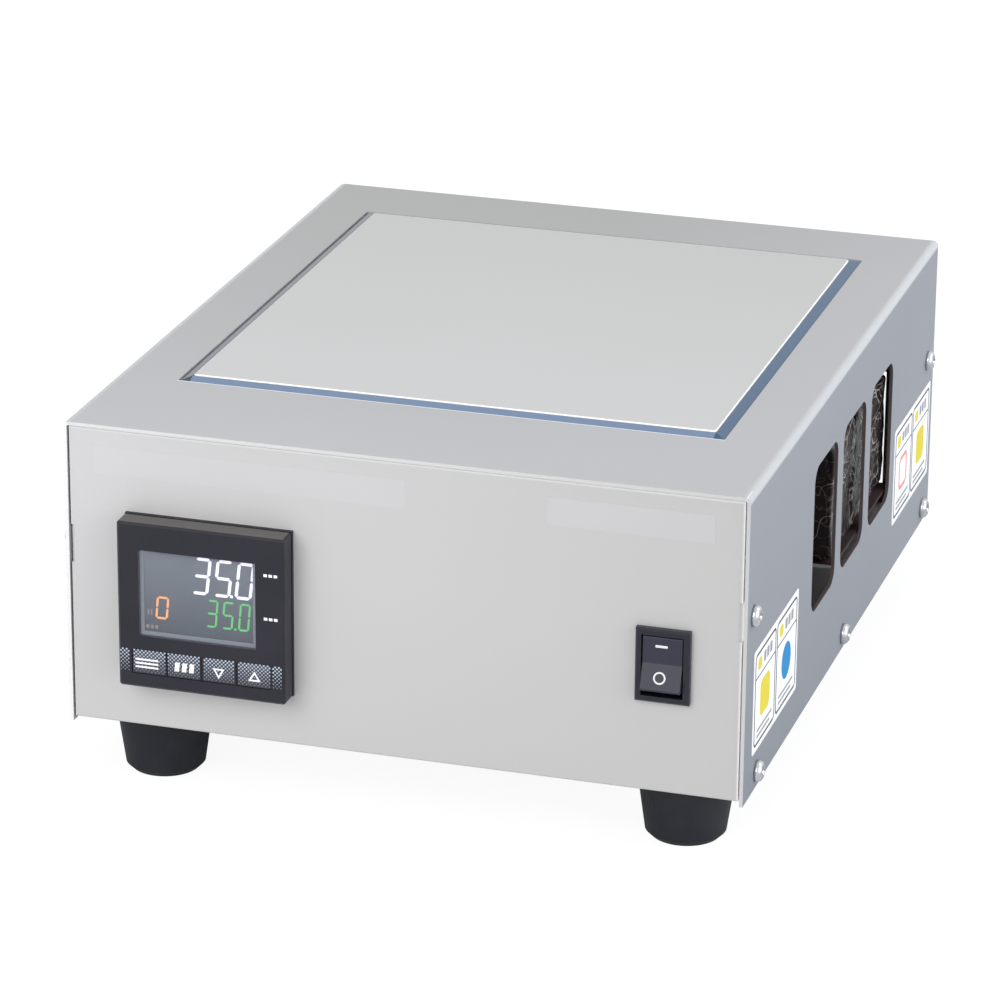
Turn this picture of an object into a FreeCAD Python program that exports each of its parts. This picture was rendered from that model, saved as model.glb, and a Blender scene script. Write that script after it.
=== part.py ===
import FreeCAD, Part
import math
import os
import re

import Sketcher
from FreeCAD import Rotation, Vector

# Bench cold plate: a square aluminium plate, cooled and warmed by thermoelectric modules,
# in a folded steel case on four rubber feet.
# Millimetres. +Z is up, +Y runs from the front panel to the rear, +X is to the right of a
# person who faces the front. The origin is the centre of the base of the whole part's box.
# Heights called "rise" are measured from the lower edge of the cover's sides, and distances
# called "back" from the cover's front edge.

SIZES = {
    # Folded cover
    "cover_height": 88, "cover_gauge": 1, "cover_bend": 1.5, "foot_drop": 18.5,
    # Vents in both sides of the cover
    "vent_count": 3, "vent_width": 28.5, "vent_pitch": 35.5, "vent_height": 43.5,
    "vent_rise": 26, "vent_corner": 5,
    # Folded chassis: tray, front and rear panels, flanges and tabs
    "chassis_gauge": 1.2, "panel_recess": 0.5, "panel_side_gap": 0.5, "side_reach": 1.2,
    "fold_corner": 0.6, "flange_gap": 0.1, "flange_height": 10, "flange_inset": 8,
    "top_clearance": 0.1, "top_flange": 9, "tab_height": 11, "tab_length": 13.5, "tab_bend": 2,
    "tab_root": 4,
    # Cover screws
    "screw_front_back": 6.5, "screw_rear_inset": 9.4, "screw_low_back": 14.5,
    "screw_rise": 52.7, "screw_low_rise": 4.7, "cover_head_radius": 3,
    "cover_head_height": 2.1, "cover_screw_radius": 1.9, "cover_screw_length": 7,
    "hole_clearance": 0.25,
    # Cold plate, its margins in the case, and its seal
    "plate_width": 150, "plate_length": 160, "plate_thick": 10, "plate_proud": 1,
    "plate_side_margin": 21, "plate_front_margin": 44.75, "plate_rear_margin": 29.25,
    "plate_gap": 3.3, "plate_chamfer": 0.3, "plate_corner": 1, "opening_corner": 0.15,
    "seal_depth": 0.4, "seal_dip": 0.4, "seal_land": 0.3, "seal_height": 7, "seal_lip": 5,
    "lip_thick": 1.5, "seat_gap": 0.05,
    # Cooling unit under the plate
    "unit_rear_inset": 5.75, "fan_size": 120, "fan_depth": 25, "fan_clearance": 0.8,
    "sink_base": 8, "sink_lip": 9, "fin_height": 28, "fin_overhang": 1, "fin_gauge": 1.6,
    "fin_count": 21, "module_size": 40, "module_thick": 3.8, "ceramic_thick": 0.8,
    "pellet_inset": 1.2, "block_margin": 2, "pocket_gap": 1, "slab_margin": 4,
    "clamp_inset_x": 3, "clamp_inset_y": 8, "clamp_radius": 2, "clamp_head_radius": 3.5,
    "clamp_head_height": 3, "clamp_grip": 6, "bush_wall": 0.9, "bush_flange": 1,
    "milled_radius": 4.6, "thread_depth": 6, "rail_grip": 5, "rail_head_radius": 3.2,
    "rail_head_height": 2.4,
    # Rails that carry the heat sink, and the shelves and pads beside it
    "rail_gauge": 1.2, "rail_gap": 1.4, "rail_flange": 9, "rail_inset": 12,
    "shelf_gauge": 1, "shelf_drop": 10, "shelf_side_gap": 0.5, "pad_front_inset": 30,
    "pad_rear_inset": 19, "pad_side_gap": 1.1, "pad_gap": 0.3, "pad_inner_gap": 0.6,
    "pad_edge": 3,
    # Axial fan
    "fan_rim": 2, "fan_wall": 1.6, "fan_flange": 4, "fan_hole_inset": 7.5,
    "fan_post_radius": 5, "fan_hole_radius": 2.15, "fan_corner": 6, "strut_width": 4,
    "mount_radius": 19, "mount_thick": 2.2, "hub_radius": 20, "hub_height": 18.5,
    "hub_start": 1.6, "hub_wall": 1.8, "blade_count": 7, "blade_thick": 1.5,
    "blade_root": 15, "tip_room": 4, "root_chord": 17, "tip_chord": 25,
    "root_angle": 52, "tip_angle": 29, "root_camber": 2.2, "tip_camber": 1.8,
    "shaft_radius": 1.5, "shaft_end_gap": 1, "bearing_wall": 1.5, "running_gap": 0.05,
    "tube_wall": 1.2, "tube_gap": 2, "stator_radius": 15, "stator_height": 9,
    "stator_gap": 2, "pole_slot": 4,
    # Air intake under the fan
    "grille_first": 15, "grille_rib": 3, "grille_rings": 5, "grille_margin": 1,
    "grille_bar": 6,
    # Temperature controller
    "bezel_size": 48, "bezel_side": 41.7, "bezel_rise": 39.9, "bezel_proud": 8,
    "bezel_block": 6, "bezel_chamfer": 0.7, "bezel_corner": 0.8, "gasket_thick": 1.2,
    "groove_inset": 0.7, "panel_hole": 45, "body_size": 44.6, "body_depth": 60,
    "window_left": 6.1, "window_width": 33.7, "window_drop": 7.7, "window_height": 25.1,
    "window_thick": 1, "window_sink": 0.15, "display_depth": 3.4, "display_thick": 2,
    "key_left": 3.8, "key_pitch": 10.1, "key_drop": 36.8, "key_height": 7.1,
    "key_gap": 0.2, "key_count": 4, "key_thick": 2.4, "key_pocket": 3, "key_sink": 0.1,
    "key_edge": 0.15, "clamp_frame_wall": 4.15, "clamp_frame_depth": 12, "clamp_frame_corner": 2,
    "housing_vents": 6, "housing_vent_first": 22, "housing_vent_pitch": 5,
    "housing_vent_width": 2, "housing_vent_length": 31, "housing_vent_depth": 1.2,
    "terminal_size": 5.2, "terminal_gap": 0.6, "terminal_pitch_x": 9,
    "terminal_pitch_z": 12.5, "terminal_depth": 3, "terminal_slot": 0.8, "terminal_sink": 1,
    # Rocker switch
    "switch_side": 22.6, "switch_rise": 38.2, "switch_width": 15, "switch_height": 21,
    "switch_proud": 2, "switch_bevel": 0.5, "switch_body_width": 13.4,
    "switch_body_height": 19, "switch_body_depth": 13, "well_width": 11.6,
    "well_height": 17.4, "well_depth": 8.4, "pivot_depth": 4.3, "pivot_radius": 1,
    "pivot_bite": 0.5, "rocker_width": 10.9, "rocker_half": 7.6, "rocker_front": 5.2,
    "rocker_dip": 4, "rocker_back": 2.5, "rocker_tilt": 10, "tab_width": 4.8,
    "tab_thick": 0.8, "tab_reach": 7, "tab_pitch": 7,
    # Power inlet and vents in the rear panel
    "inlet_side": 24, "inlet_rise": 30, "inlet_width": 30, "inlet_height": 22.5,
    "inlet_proud": 3, "inlet_corner": 2, "inlet_body_width": 27, "inlet_body_height": 19.5,
    "inlet_depth": 16, "cavity_width": 24, "cavity_height": 16.2, "cavity_depth": 15,
    "cavity_bevel": 4, "pin_width": 2, "pin_height": 4, "pin_reach": 13, "pin_pitch": 7,
    "pin_stagger": 4, "pin_tail": 9, "rear_slots": 5, "rear_slot_width": 3,
    "rear_slot_pitch": 7, "rear_slot_height": 40, "rear_slot_rise": 5, "rear_slot_side": 14.1,
    # Power supply on the rear panel
    "board_gap": 9.5, "board_width": 94, "board_height": 58, "board_thick": 1.6,
    "board_rise": 5, "support_height": 5, "support_radius": 3.2, "support_neck": 1.8,
    "support_head": 2.6, "support_tip": 2.4, "support_inset": 4, "core_x": 0,
    "core_width": 34, "core_height": 30, "core_depth": 22, "coil_width": 19,
    "coil_height": 38, "coil_depth": 23.5, "coil_round": 3, "can_radius": 8,
    "can_length": 20, "can_x": 34, "can_low": 17, "can_high": 36, "can_far_x": 28,
    "can_far": 41, "bar_thick": 3, "bar_depth": 18, "bar_height": 40, "bar_near_x": -20.5,
    "bar_far_x": 41.5, "strip_x": 24, "strip_width": 24, "strip_height": 9,
    "strip_depth": 12, "strip_rise": 2, "way_count": 5, "way_pitch": 4.4, "way_width": 3,
    "way_depth": 5, "way_wall": 2,
    # Feet
    "foot_inset_x": 20.5, "foot_front_back": 20, "foot_rear_inset": 20,
    "foot_top_radius": 13.8, "foot_base_radius": 11.2, "foot_edge": 1.6,
    "foot_recess_radius": 6.5, "foot_recess": 10, "foot_bolt_radius": 2,
    "foot_head_radius": 4, "foot_head_height": 2.6, "foot_bolt_end": 5,
    "nut_radius": 4, "nut_height": 3.2,
    # Sensor and cut-out under the plate
    "probe_inset": 17.25, "probe_x": 30, "probe_radius": 1.95, "probe_bite": 6,
    "probe_length": 14, "disc_x": -20, "disc_radius": 8, "disc_height": 9,
    "disc_ear": 11.5, "disc_ear_width": 10, "disc_ear_thick": 1.2,
}

# Places and lengths that several pieces share, worked out from the sizes above
PLACES = {
    "case_width": "plate_width + 2 * plate_side_margin",
    "case_depth": "plate_front_margin + plate_length + plate_rear_margin",
    "case_side": "case_width / 2",
    "case_front": "(bezel_proud - inlet_proud - case_depth) / 2",
    "panel_face": "case_front + panel_recess",
    "rear_face": "case_front + case_depth - panel_recess",
    "tray_under": "foot_drop + side_reach",
    "tray_deck": "tray_under + chassis_gauge",
    "cover_top": "foot_drop + cover_height",
    "plate_y": "case_front + plate_front_margin + plate_length / 2",
    "plate_top": "cover_top + plate_proud",
    "plate_under": "plate_top - plate_thick",
    "unit_rear": "plate_y + plate_length / 2 - unit_rear_inset",
    "unit_y": "unit_rear - fan_size / 2",
    "unit_front": "unit_rear - fan_size",
    "fan_bore": "fan_size / 2 - fan_rim",
    "fin_field": "fan_size + 2 * fin_overhang",
    "sink_side": "fin_field / 2 + sink_lip",
    "fan_top": "tray_deck + fan_depth",
    "fin_tips": "fan_top + fan_clearance",
    "sink_under": "fin_tips + fin_height",
    "sink_top": "sink_under + sink_base",
    "module_top": "sink_top + module_thick",
    "flange_out": "case_side - cover_gauge - flange_gap",
    "flange_in": "flange_out - chassis_gauge",
    "rail_in": "fin_field / 2 + rail_gap",
    "rail_out": "rail_in + rail_gauge",
    "bezel_x": "bezel_side - case_side",
    "bezel_z": "foot_drop + bezel_rise",
    "bezel_left": "bezel_x - bezel_size / 2",
    "bezel_top": "bezel_z + bezel_size / 2",
    "bezel_face": "panel_face - bezel_proud",
    "switch_x": "case_side - switch_side",
    "switch_z": "foot_drop + switch_rise",
    "switch_face": "panel_face - switch_proud",
    "inlet_x": "inlet_side - case_side",
    "inlet_z": "foot_drop + inlet_rise",
    "board_x": "inlet_x + inlet_body_width / 2 + board_gap + board_width / 2",
    "board_back": "rear_face - chassis_gauge - support_height",
    "board_face": "board_back - board_thick",
    "board_low": "foot_drop + board_rise",
    "probe_y": "plate_y - plate_length / 2 + probe_inset",
}

doc = FreeCAD.newDocument("ColdPlate")
sheet = doc.addObject("Spreadsheet::Sheet", "Sizes")
for row, (alias, number) in enumerate([*SIZES.items(), *PLACES.items()], 1):
    sheet.set(f"A{row}", alias)
    sheet.set(f"B{row}", f"={number}")
    sheet.setAlias(f"B{row}", alias)
doc.recompute()

nodes = []
alias_words = re.compile(r"\b(" + "|".join([*SIZES, *PLACES]) + r")\b")

TURNS = {
    "+Z": Rotation(), "-Z": Rotation(Vector(1, 0, 0), 180),
    "+X": Rotation(Vector(0, 1, 0), 90), "-X": Rotation(Vector(0, 1, 0), -90),
    "+Y": Rotation(Vector(1, 0, 0), -90), "-Y": Rotation(Vector(1, 0, 0), 90),
}


def named(text):
    """The expression with each size's alias pointed at the sheet."""
    return alias_words.sub(r"Sizes.\1", str(text))


def value(text):
    """The number that an expression of the sizes gives."""
    return float(sheet.evalExpression(named(text)))


def bind(piece, **fields):
    """Ties fields of a piece to expressions of the sizes."""
    for field, text in fields.items():
        piece.setExpression(field, named(text))
    return piece


def place(piece, at, axis="+Z"):
    """Puts a piece's own origin at a point, with its own +Z turned along an axis."""
    piece.Placement.Rotation = TURNS[axis]
    for field, text in zip("xyz", at):
        piece.setExpression(f"Placement.Base.{field}", named(text))
    return piece


def keep(piece, label):
    """Names a finished piece, and lists it for export."""
    piece.Label = label
    nodes.append(piece)
    return piece


def mirrored(span):
    """The same span on the other side of the middle plane."""
    low, high = span
    return f"-({high})", f"-({low})"


def unmoved(span):
    return span


def middle(centre, size):
    """The span of that size about a centre."""
    return f"({centre}) - ({size}) / 2", f"({centre}) + ({size}) / 2"


def box(name, along_x, along_y, along_z):
    """A block between pairs of places along X, Y and Z."""
    block = doc.addObject("Part::Box", name)
    spans = (along_x, along_y, along_z)
    bind(block, **{
        field: f"({high}) - ({low})"
        for field, (low, high) in zip(("Length", "Width", "Height"), spans)
    })
    return place(block, [low for low, high in spans])


def rod(name, radius, length, at, axis="+Z"):
    """A round bar that starts at a point and runs along an axis."""
    bar = doc.addObject("Part::Cylinder", name)
    bind(bar, Radius=radius, Height=length)
    return place(bar, at, axis)


def fuse(name, *pieces):
    joined = doc.addObject("Part::MultiFuse", name)
    joined.Shapes = list(pieces)
    joined.Refine = True
    return joined


def group(name, pieces):
    """Separate solids that share one node."""
    held = doc.addObject("Part::Compound", name)
    held.Links = list(pieces)
    return held


def cut(name, base, *tools):
    carved = doc.addObject("Part::Cut", name)
    carved.Base = base
    carved.Tool = tools[0] if len(tools) == 1 else group(name + "Tools", tools)
    return carved


def frame(name, outer, inner, along_z):
    """A flat rectangular ring: outer and inner are pairs of spans along X and Y."""
    return cut(name, box(name + "Outer", *outer, along_z), box(name + "Inner", *inner, along_z))


def soften(name, base, size, pick, kind="Part::Fillet"):
    """Rounds or bevels the edges of a piece that pick chooses."""
    doc.recompute()
    width = value(size)
    edges = [(i, width, width) for i, edge in enumerate(base.Shape.Edges, 1) if pick(edge)]
    softened = doc.addObject(kind, name)
    softened.Base = base
    softened.Edges = edges
    return softened


def runs(edge, axis):
    """Whether a straight edge is parallel to an axis."""
    if edge.Curve.TypeId != "Part::GeomLine":
        return False
    return abs(abs(edge.Curve.Direction.dot(axis)) - 1) < 1e-6


def at_place(edge, axis, text):
    """Whether an edge's middle lies at a place along an axis."""
    return abs(edge.CenterOfMass.dot(axis) - value(text)) < 1e-4


X, Y, Z = Vector(1, 0, 0), Vector(0, 1, 0), Vector(0, 0, 1)


def new_body(name):
    return doc.addObject("PartDesign::Body", name)


def origin_part(body, role):
    return [part for part in body.Origin.OriginFeatures if part.Role == role][0]


def sketch_on(body, name, plane, offset="0"):
    """An empty sketch on one of a body's origin planes, moved along the plane's normal."""
    sketch = body.newObject("Sketcher::SketchObject", name)
    sketch.AttachmentSupport = (origin_part(body, plane), [""])
    sketch.MapMode = "FlatFace"
    sketch.setExpression("AttachmentOffset.Base.z", named(offset))
    return sketch


def hold(sketch, element, point, u, v):
    """Fixes a point of a sketch by two distances from the sketch's origin."""
    for kind, text in (("DistanceX", u), ("DistanceY", v)):
        constraint = Sketcher.Constraint(kind, -1, 1, element, point, value(text))
        index = sketch.addConstraint(constraint)
        sketch.setExpression(f"Constraints[{index}]", named(text))


def outline(sketch, corners):
    """A closed outline of straight lines, with every corner held by two distances."""
    first = sketch.GeometryCount
    count = len(corners)
    spots = [Vector(value(u), value(v), 0) for u, v in corners]
    for i in range(count):
        sketch.addGeometry(Part.LineSegment(spots[i], spots[(i + 1) % count]), False)
    for i in range(count):
        following = first + (i + 1) % count
        sketch.addConstraint(Sketcher.Constraint("Coincident", first + i, 2, following, 1))
    for i, (u, v) in enumerate(corners):
        hold(sketch, first + i, 1, u, v)


def rectangle(sketch, along_u, along_v):
    (u0, u1), (v0, v1) = along_u, along_v
    outline(sketch, [(u0, v0), (u1, v0), (u1, v1), (u0, v1)])


def rounded(sketch, along_u, along_v, radius):
    """A rectangle with round corners: four lines held at their ends, joined by four arcs."""
    (u0, u1), (v0, v1) = along_u, along_v
    lines = [
        ((f"{u0} + {radius}", v0), (f"{u1} - {radius}", v0)),
        ((u1, f"{v0} + {radius}"), (u1, f"{v1} - {radius}")),
        ((f"{u1} - {radius}", v1), (f"{u0} + {radius}", v1)),
        ((u0, f"{v1} - {radius}"), (u0, f"{v0} + {radius}")),
    ]
    centres = [(u1, v0, "-", "+"), (u1, v1, "-", "-"), (u0, v1, "+", "-"), (u0, v0, "+", "+")]
    first = sketch.GeometryCount
    for line in lines:
        start, end = [Vector(value(u), value(v), 0) for u, v in line]
        sketch.addGeometry(Part.LineSegment(start, end), False)
    for i, (u, v, du, dv) in enumerate(centres):
        centre = Vector(value(f"{u} {du} {radius}"), value(f"{v} {dv} {radius}"), 0)
        ring = Part.Circle(centre, Z, value(radius))
        turn = (i - 1) * math.pi / 2
        sketch.addGeometry(Part.ArcOfCircle(ring, turn, turn + math.pi / 2), False)
    for i, line in enumerate(lines):
        for end, (u, v) in enumerate(line, 1):
            hold(sketch, first + i, end, u, v)
    for i in range(4):
        arc = first + 4 + i
        sketch.addConstraint(Sketcher.Constraint("Coincident", first + i, 2, arc, 1))
        sketch.addConstraint(Sketcher.Constraint("Coincident", arc, 2, first + (i + 1) % 4, 1))
        index = sketch.addConstraint(Sketcher.Constraint("Radius", arc, value(radius)))
        sketch.setExpression(f"Constraints[{index}]", named(radius))


def circle(sketch, u, v, radius):
    centre = Vector(value(u), value(v), 0)
    index = sketch.addGeometry(Part.Circle(centre, Z, value(radius)), False)
    hold(sketch, index, 3, u, v)
    constraint = sketch.addConstraint(Sketcher.Constraint("Radius", index, value(radius)))
    sketch.setExpression(f"Constraints[{constraint}]", named(radius))


def pad(body, name, sketch, length, reverse=False, midplane=False):
    grown = body.newObject("PartDesign::Pad", name)
    grown.Profile = sketch
    bind(grown, Length=length)
    grown.Reversed = reverse
    grown.Midplane = midplane
    return grown


def pocket(body, name, sketch, depth=None, reverse=False, midplane=False):
    """A cut from a sketch: right through if no depth is given."""
    hollow = body.newObject("PartDesign::Pocket", name)
    hollow.Profile = sketch
    if depth is None:
        hollow.Type = "ThroughAll"
    else:
        bind(hollow, Length=depth)
    hollow.Reversed = reverse
    hollow.Midplane = midplane
    return hollow


def round_edges(body, name, base, radius, pick):
    """Rounds the edges of a body's feature that pick chooses."""
    doc.recompute()
    edges = [f"Edge{i}" for i, edge in enumerate(base.Shape.Edges, 1) if pick(edge)]
    rounded = body.newObject("PartDesign::Fillet", name)
    rounded.Base = (base, edges)
    bind(rounded, Radius=radius)
    return rounded


def screw(name, at, axis, head, height, shank, length, hexagonal=False):
    """A screw with a pan head or a hexagon head. Its own +Z runs from under the head to the tip."""
    if hexagonal:
        cap = doc.addObject("Part::Prism", name + "Hexagon")
        cap.Polygon = 6
        bind(cap, Circumradius=head, Height=height)
    else:
        cap = doc.addObject("Part::Cone", name + "Pan")
        bind(cap, Radius1=f"0.72 * ({head})", Radius2=head, Height=height)
    place(cap, ("0", "0", f"-({height})"))
    return place(fuse(name, cap, rod(name + "Shank", shank, length, ("0", "0", "0"))), at, axis)


def nut(name, at, bore):
    """A hexagon nut on a bolt that runs along Z."""
    hexagon = doc.addObject("Part::Prism", name + "Hexagon")
    hexagon.Polygon = 6
    bind(hexagon, Circumradius="nut_radius", Height="nut_height")
    thread = rod(name + "Bore", f"{bore} + seat_gap", "nut_height", ("0", "0", "0"))
    return place(cut(name, hexagon, thread), at)


# Where the cover screws stand along the case, and how high
COVER_SCREWS = [
    ("case_front + screw_front_back", "foot_drop + screw_rise"),
    ("case_front + screw_low_back", "foot_drop + screw_low_rise"),
    ("case_front + case_depth / 2", "foot_drop + screw_low_rise"),
    ("case_front + case_depth - screw_rear_inset", "foot_drop + screw_rise"),
    ("case_front + case_depth - screw_rear_inset", "foot_drop + screw_low_rise"),
]


def make_cover():
    """Top and two sides folded from one sheet, with the plate's opening and the side vents."""
    body = new_body("Cover")
    profile = sketch_on(body, "CoverProfile", "XZ_Plane", "-case_front")
    inner = "case_side - cover_gauge"
    under = "cover_top - cover_gauge"
    outline(profile, [
        ("-case_side", "foot_drop"), ("-case_side", "cover_top"),
        ("case_side", "cover_top"), ("case_side", "foot_drop"),
        (inner, "foot_drop"), (inner, under), (f"-({inner})", under), (f"-({inner})", "foot_drop"),
    ])
    folded = pad(body, "CoverSheet", profile, "case_depth", reverse=True)
    bent = round_edges(body, "CoverBends", folded, "cover_bend",
                       lambda edge: runs(edge, Y) and at_place(edge, Z, "cover_top"))
    eased = round_edges(body, "CoverInnerBends", bent, "cover_bend - cover_gauge",
                        lambda edge: runs(edge, Y) and at_place(edge, Z, under)
                        and abs(abs(edge.CenterOfMass.x) - value(inner)) < 1e-4)

    opening = sketch_on(body, "PlateOpening", "XY_Plane")
    rounded(opening, middle("0", "plate_width + 2 * plate_gap"),
            middle("plate_y", "plate_length + 2 * plate_gap"), "opening_corner")
    pocket(body, "PlateOpeningCut", opening, reverse=True)

    vent = sketch_on(body, "Vent", "YZ_Plane")
    first = "plate_y - vent_pitch * (vent_count - 1) / 2"
    low = "foot_drop + vent_rise"
    rounded(vent, middle(first, "vent_width"), (low, f"{low} + vent_height"), "vent_corner")
    pierced = pocket(body, "VentCut", vent, midplane=True)
    row = body.newObject("PartDesign::LinearPattern", "VentRow")
    row.Originals = [pierced]
    row.Direction = (origin_part(body, "Y_Axis"), [""])
    bind(row, Length="vent_pitch * (vent_count - 1)", Occurrences="vent_count")
    body.Tip = row

    holes = sketch_on(body, "CoverScrewHoles", "YZ_Plane")
    for along, up in COVER_SCREWS:
        circle(holes, along, up, "cover_screw_radius + hole_clearance")
    body.Tip = pocket(body, "CoverScrewCuts", holes, midplane=True)
    keep(body, "cover")


def make_chassis():
    """Tray, front panel and rear panel folded from one sheet, with side flanges and tabs."""
    body = new_body("Chassis")
    profile = sketch_on(body, "ChassisProfile", "YZ_Plane")
    top = "cover_top - cover_gauge - top_clearance"
    gauge = "chassis_gauge"
    outline(profile, [
        ("panel_face", "tray_under"), ("rear_face", "tray_under"),
        ("rear_face", top), ("rear_face - top_flange", top),
        ("rear_face - top_flange", f"{top} - {gauge}"), (f"rear_face - {gauge}", f"{top} - {gauge}"),
        (f"rear_face - {gauge}", "tray_deck"), (f"panel_face + {gauge}", "tray_deck"),
        (f"panel_face + {gauge}", f"{top} - {gauge}"), ("panel_face + top_flange", f"{top} - {gauge}"),
        ("panel_face + top_flange", top), ("panel_face", top),
    ])
    width = "case_width - 2 * (cover_gauge + panel_side_gap)"
    folded = pad(body, "ChassisSheet", profile, width, midplane=True)
    bent = round_edges(body, "ChassisBends", folded, "fold_corner", lambda edge: runs(edge, X)
                       and any(at_place(edge, Y, side) for side in ("panel_face", "rear_face")))

    sides = sketch_on(body, "FlangesAndTabs", "YZ_Plane", "flange_in")
    rectangle(sides, ("panel_face + flange_inset", "rear_face - flange_inset"),
              ("tray_under", "tray_under + flange_height"))
    flanged = pad(body, "SideFlanges", sides, gauge)
    both = body.newObject("PartDesign::Mirrored", "BothSides")
    both.Originals = [flanged]
    both.MirrorPlane = (origin_part(body, "YZ_Plane"), [""])
    body.Tip = both
    tab_z = middle("foot_drop + screw_rise", "tab_height")
    notches = [flip(("flange_out - tab_bend", "case_side")) for flip in (mirrored, unmoved)]

    front = sketch_on(body, "FrontCutouts", "XZ_Plane", "-panel_face")
    rectangle(front, middle("bezel_x", "panel_hole"), middle("bezel_z", "panel_hole"))
    rectangle(front, middle("switch_x", "switch_body_width + 2 * seat_gap"),
              middle("switch_z", "switch_body_height + 2 * seat_gap"))
    for notch in notches:
        rectangle(front, notch, tab_z)
    pocket(body, "FrontCuts", front, f"2 * {gauge}")

    rear = sketch_on(body, "RearCutouts", "XZ_Plane", "-rear_face")
    rectangle(rear, middle("inlet_x", "inlet_body_width + 2 * seat_gap"),
              middle("inlet_z", "inlet_body_height + 2 * seat_gap"))
    for i in range(int(value("rear_slots"))):
        right = f"case_side - rear_slot_side - {i} * rear_slot_pitch"
        low = "foot_drop + rear_slot_rise"
        rectangle(rear, (f"{right} - rear_slot_width", right), (low, f"{low} + rear_slot_height"))
    for notch in notches:
        rectangle(rear, notch, tab_z)
    body.Tip = pocket(body, "RearCuts", rear, f"2 * {gauge}", reverse=True)
    tabs = [make_tab(f"{end}{hand}", flip, end == "Rear", tab_z)
            for end in ("Front", "Rear") for hand, flip in (("Left", mirrored), ("Right", unmoved))]

    # Round slots under the fan, crossed by two bars, and the holes for the screws
    through = f"{gauge} * 3"
    below = f"tray_under - {gauge}"
    rings = []
    slot = ("((fan_bore - grille_margin - grille_first - (grille_rings - 1) * grille_rib)"
            " / grille_rings)")
    for i in range(int(value("grille_rings"))):
        inner = f"grille_first + {i} * ({slot} + grille_rib)"
        disc = rod(f"GrilleDisc{i}", f"{inner} + {slot}", through, ("0", "unit_y", below))
        island = rod(f"GrilleIsland{i}", inner, through, ("0", "unit_y", below))
        rings.append(cut(f"GrilleRing{i}", disc, island))
    reach = "fan_size"
    deep = (below, f"{below} + {through}")
    bars = [
        box("GrilleBarX", middle("0", reach), middle("unit_y", "grille_bar"), deep),
        box("GrilleBarY", middle("0", "grille_bar"), middle("unit_y", reach), deep),
    ]
    slots = cut("GrilleSlots", group("GrilleRings", rings), *bars)
    holes = [
        rod(f"TrayHole{i}", f"{radius} + hole_clearance", through, (x, y, below))
        for i, (x, y, radius) in enumerate(tray_screws())
    ]
    side_holes = [
        rod(f"FlangeHole{side}{i}", "cover_screw_radius + seat_gap", f"{gauge} * 3",
            (f"{sign} * (flange_in - {gauge})", along, up), axis)
        for side, (sign, axis) in enumerate((("1", "+X"), ("-1", "-X")))
        for i, (along, up) in enumerate(COVER_SCREWS)
    ]
    keep(cut("ChassisCut", fuse("ChassisFolded", body, *tabs), slots, *holes, *side_holes), "chassis")


def make_tab(tag, flip, at_rear, along_z):
    """A tab bent back from the end of a panel, where a cover screw holds."""
    gauge, root = "chassis_gauge", "flange_out - tab_root"
    if at_rear:
        outer_y = ("rear_face - tab_length", "rear_face")
        inner_y = (outer_y[0], f"rear_face - {gauge}")
    else:
        outer_y = ("panel_face", "panel_face + tab_length")
        inner_y = (f"panel_face + {gauge}", outer_y[1])
    angle = cut(f"TabAngle{tag}", box(f"TabOuter{tag}", flip((root, "flange_out")), outer_y, along_z),
                box(f"TabInner{tag}", flip((root, "flange_in")), inner_y, along_z))
    bends = [(outer_y[at_rear], "flange_out", "tab_bend"),
             (inner_y[at_rear], "flange_in", f"tab_bend - {gauge}")]
    for i, (y, x, radius) in enumerate(bends):
        angle = soften(f"TabBend{tag}{i}", angle, radius, lambda edge: runs(edge, Z) and at_place(edge, Y, y)
                       and abs(abs(edge.CenterOfMass.x) - value(x)) < 1e-4)
    return angle


def foot_spots():
    """Centres of the four feet, with their names."""
    reach = "case_side - foot_inset_x"
    front, rear = "case_front + foot_front_back", "case_front + case_depth - foot_rear_inset"
    return [
        ("foot_front_left", f"-({reach})", front), ("foot_front_right", reach, front),
        ("foot_rear_left", f"-({reach})", rear), ("foot_rear_right", reach, rear),
    ]


def rail_spots():
    """Centres of the screws that hold the two rails to the tray."""
    x = "rail_out + rail_flange / 2"
    ends = ["unit_front + rail_inset", "unit_rear - rail_inset"]
    return [(sign, y) for sign in (f"-({x})", x) for y in ends]


def fan_spots():
    half = "(fan_size / 2 - fan_hole_inset)"
    return [(f"{sx} * {half}", f"unit_y + {sy} * {half}") for sx in (-1, 1) for sy in (-1, 1)]


def clamp_spots():
    return [(f"{sx} * (fin_field / 2 - clamp_inset_x)", f"unit_y + {sy} * (fan_size / 2 - clamp_inset_y)")
            for sx in (-1, 1) for sy in (-1, 1)]


def tray_screws():
    """Every screw that passes through the tray, with its radius."""
    spots = [(x, y, "foot_bolt_radius") for label, x, y in foot_spots()]
    spots += [(x, y, "clamp_radius") for x, y in rail_spots()]
    return spots + [(x, y, "clamp_radius") for x, y in fan_spots()]


def supply_corners():
    """Corners of the supply's board where its supports stand, as X and Z."""
    across = "board_width / 2 - support_inset"
    low, high = "board_low + support_inset", "board_low + board_height - support_inset"
    return [(f"board_x + {sign} * ({across})", z) for sign in (-1, 1) for z in (low, high)]


def make_cover_screws():
    """Ten pan head screws: five in each side of the cover."""
    screws = []
    for side, (sign, axis) in enumerate((("1", "-X"), ("-1", "+X"))):
        for i, (along, up) in enumerate(COVER_SCREWS):
            screws.append(screw(f"CoverScrew{side}{i}", (f"{sign} * case_side", along, up), axis,
                                "cover_head_radius", "cover_head_height",
                                "cover_screw_radius", "cover_screw_length"))
    keep(group("CoverScrews", screws), "cover_screws")


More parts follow.
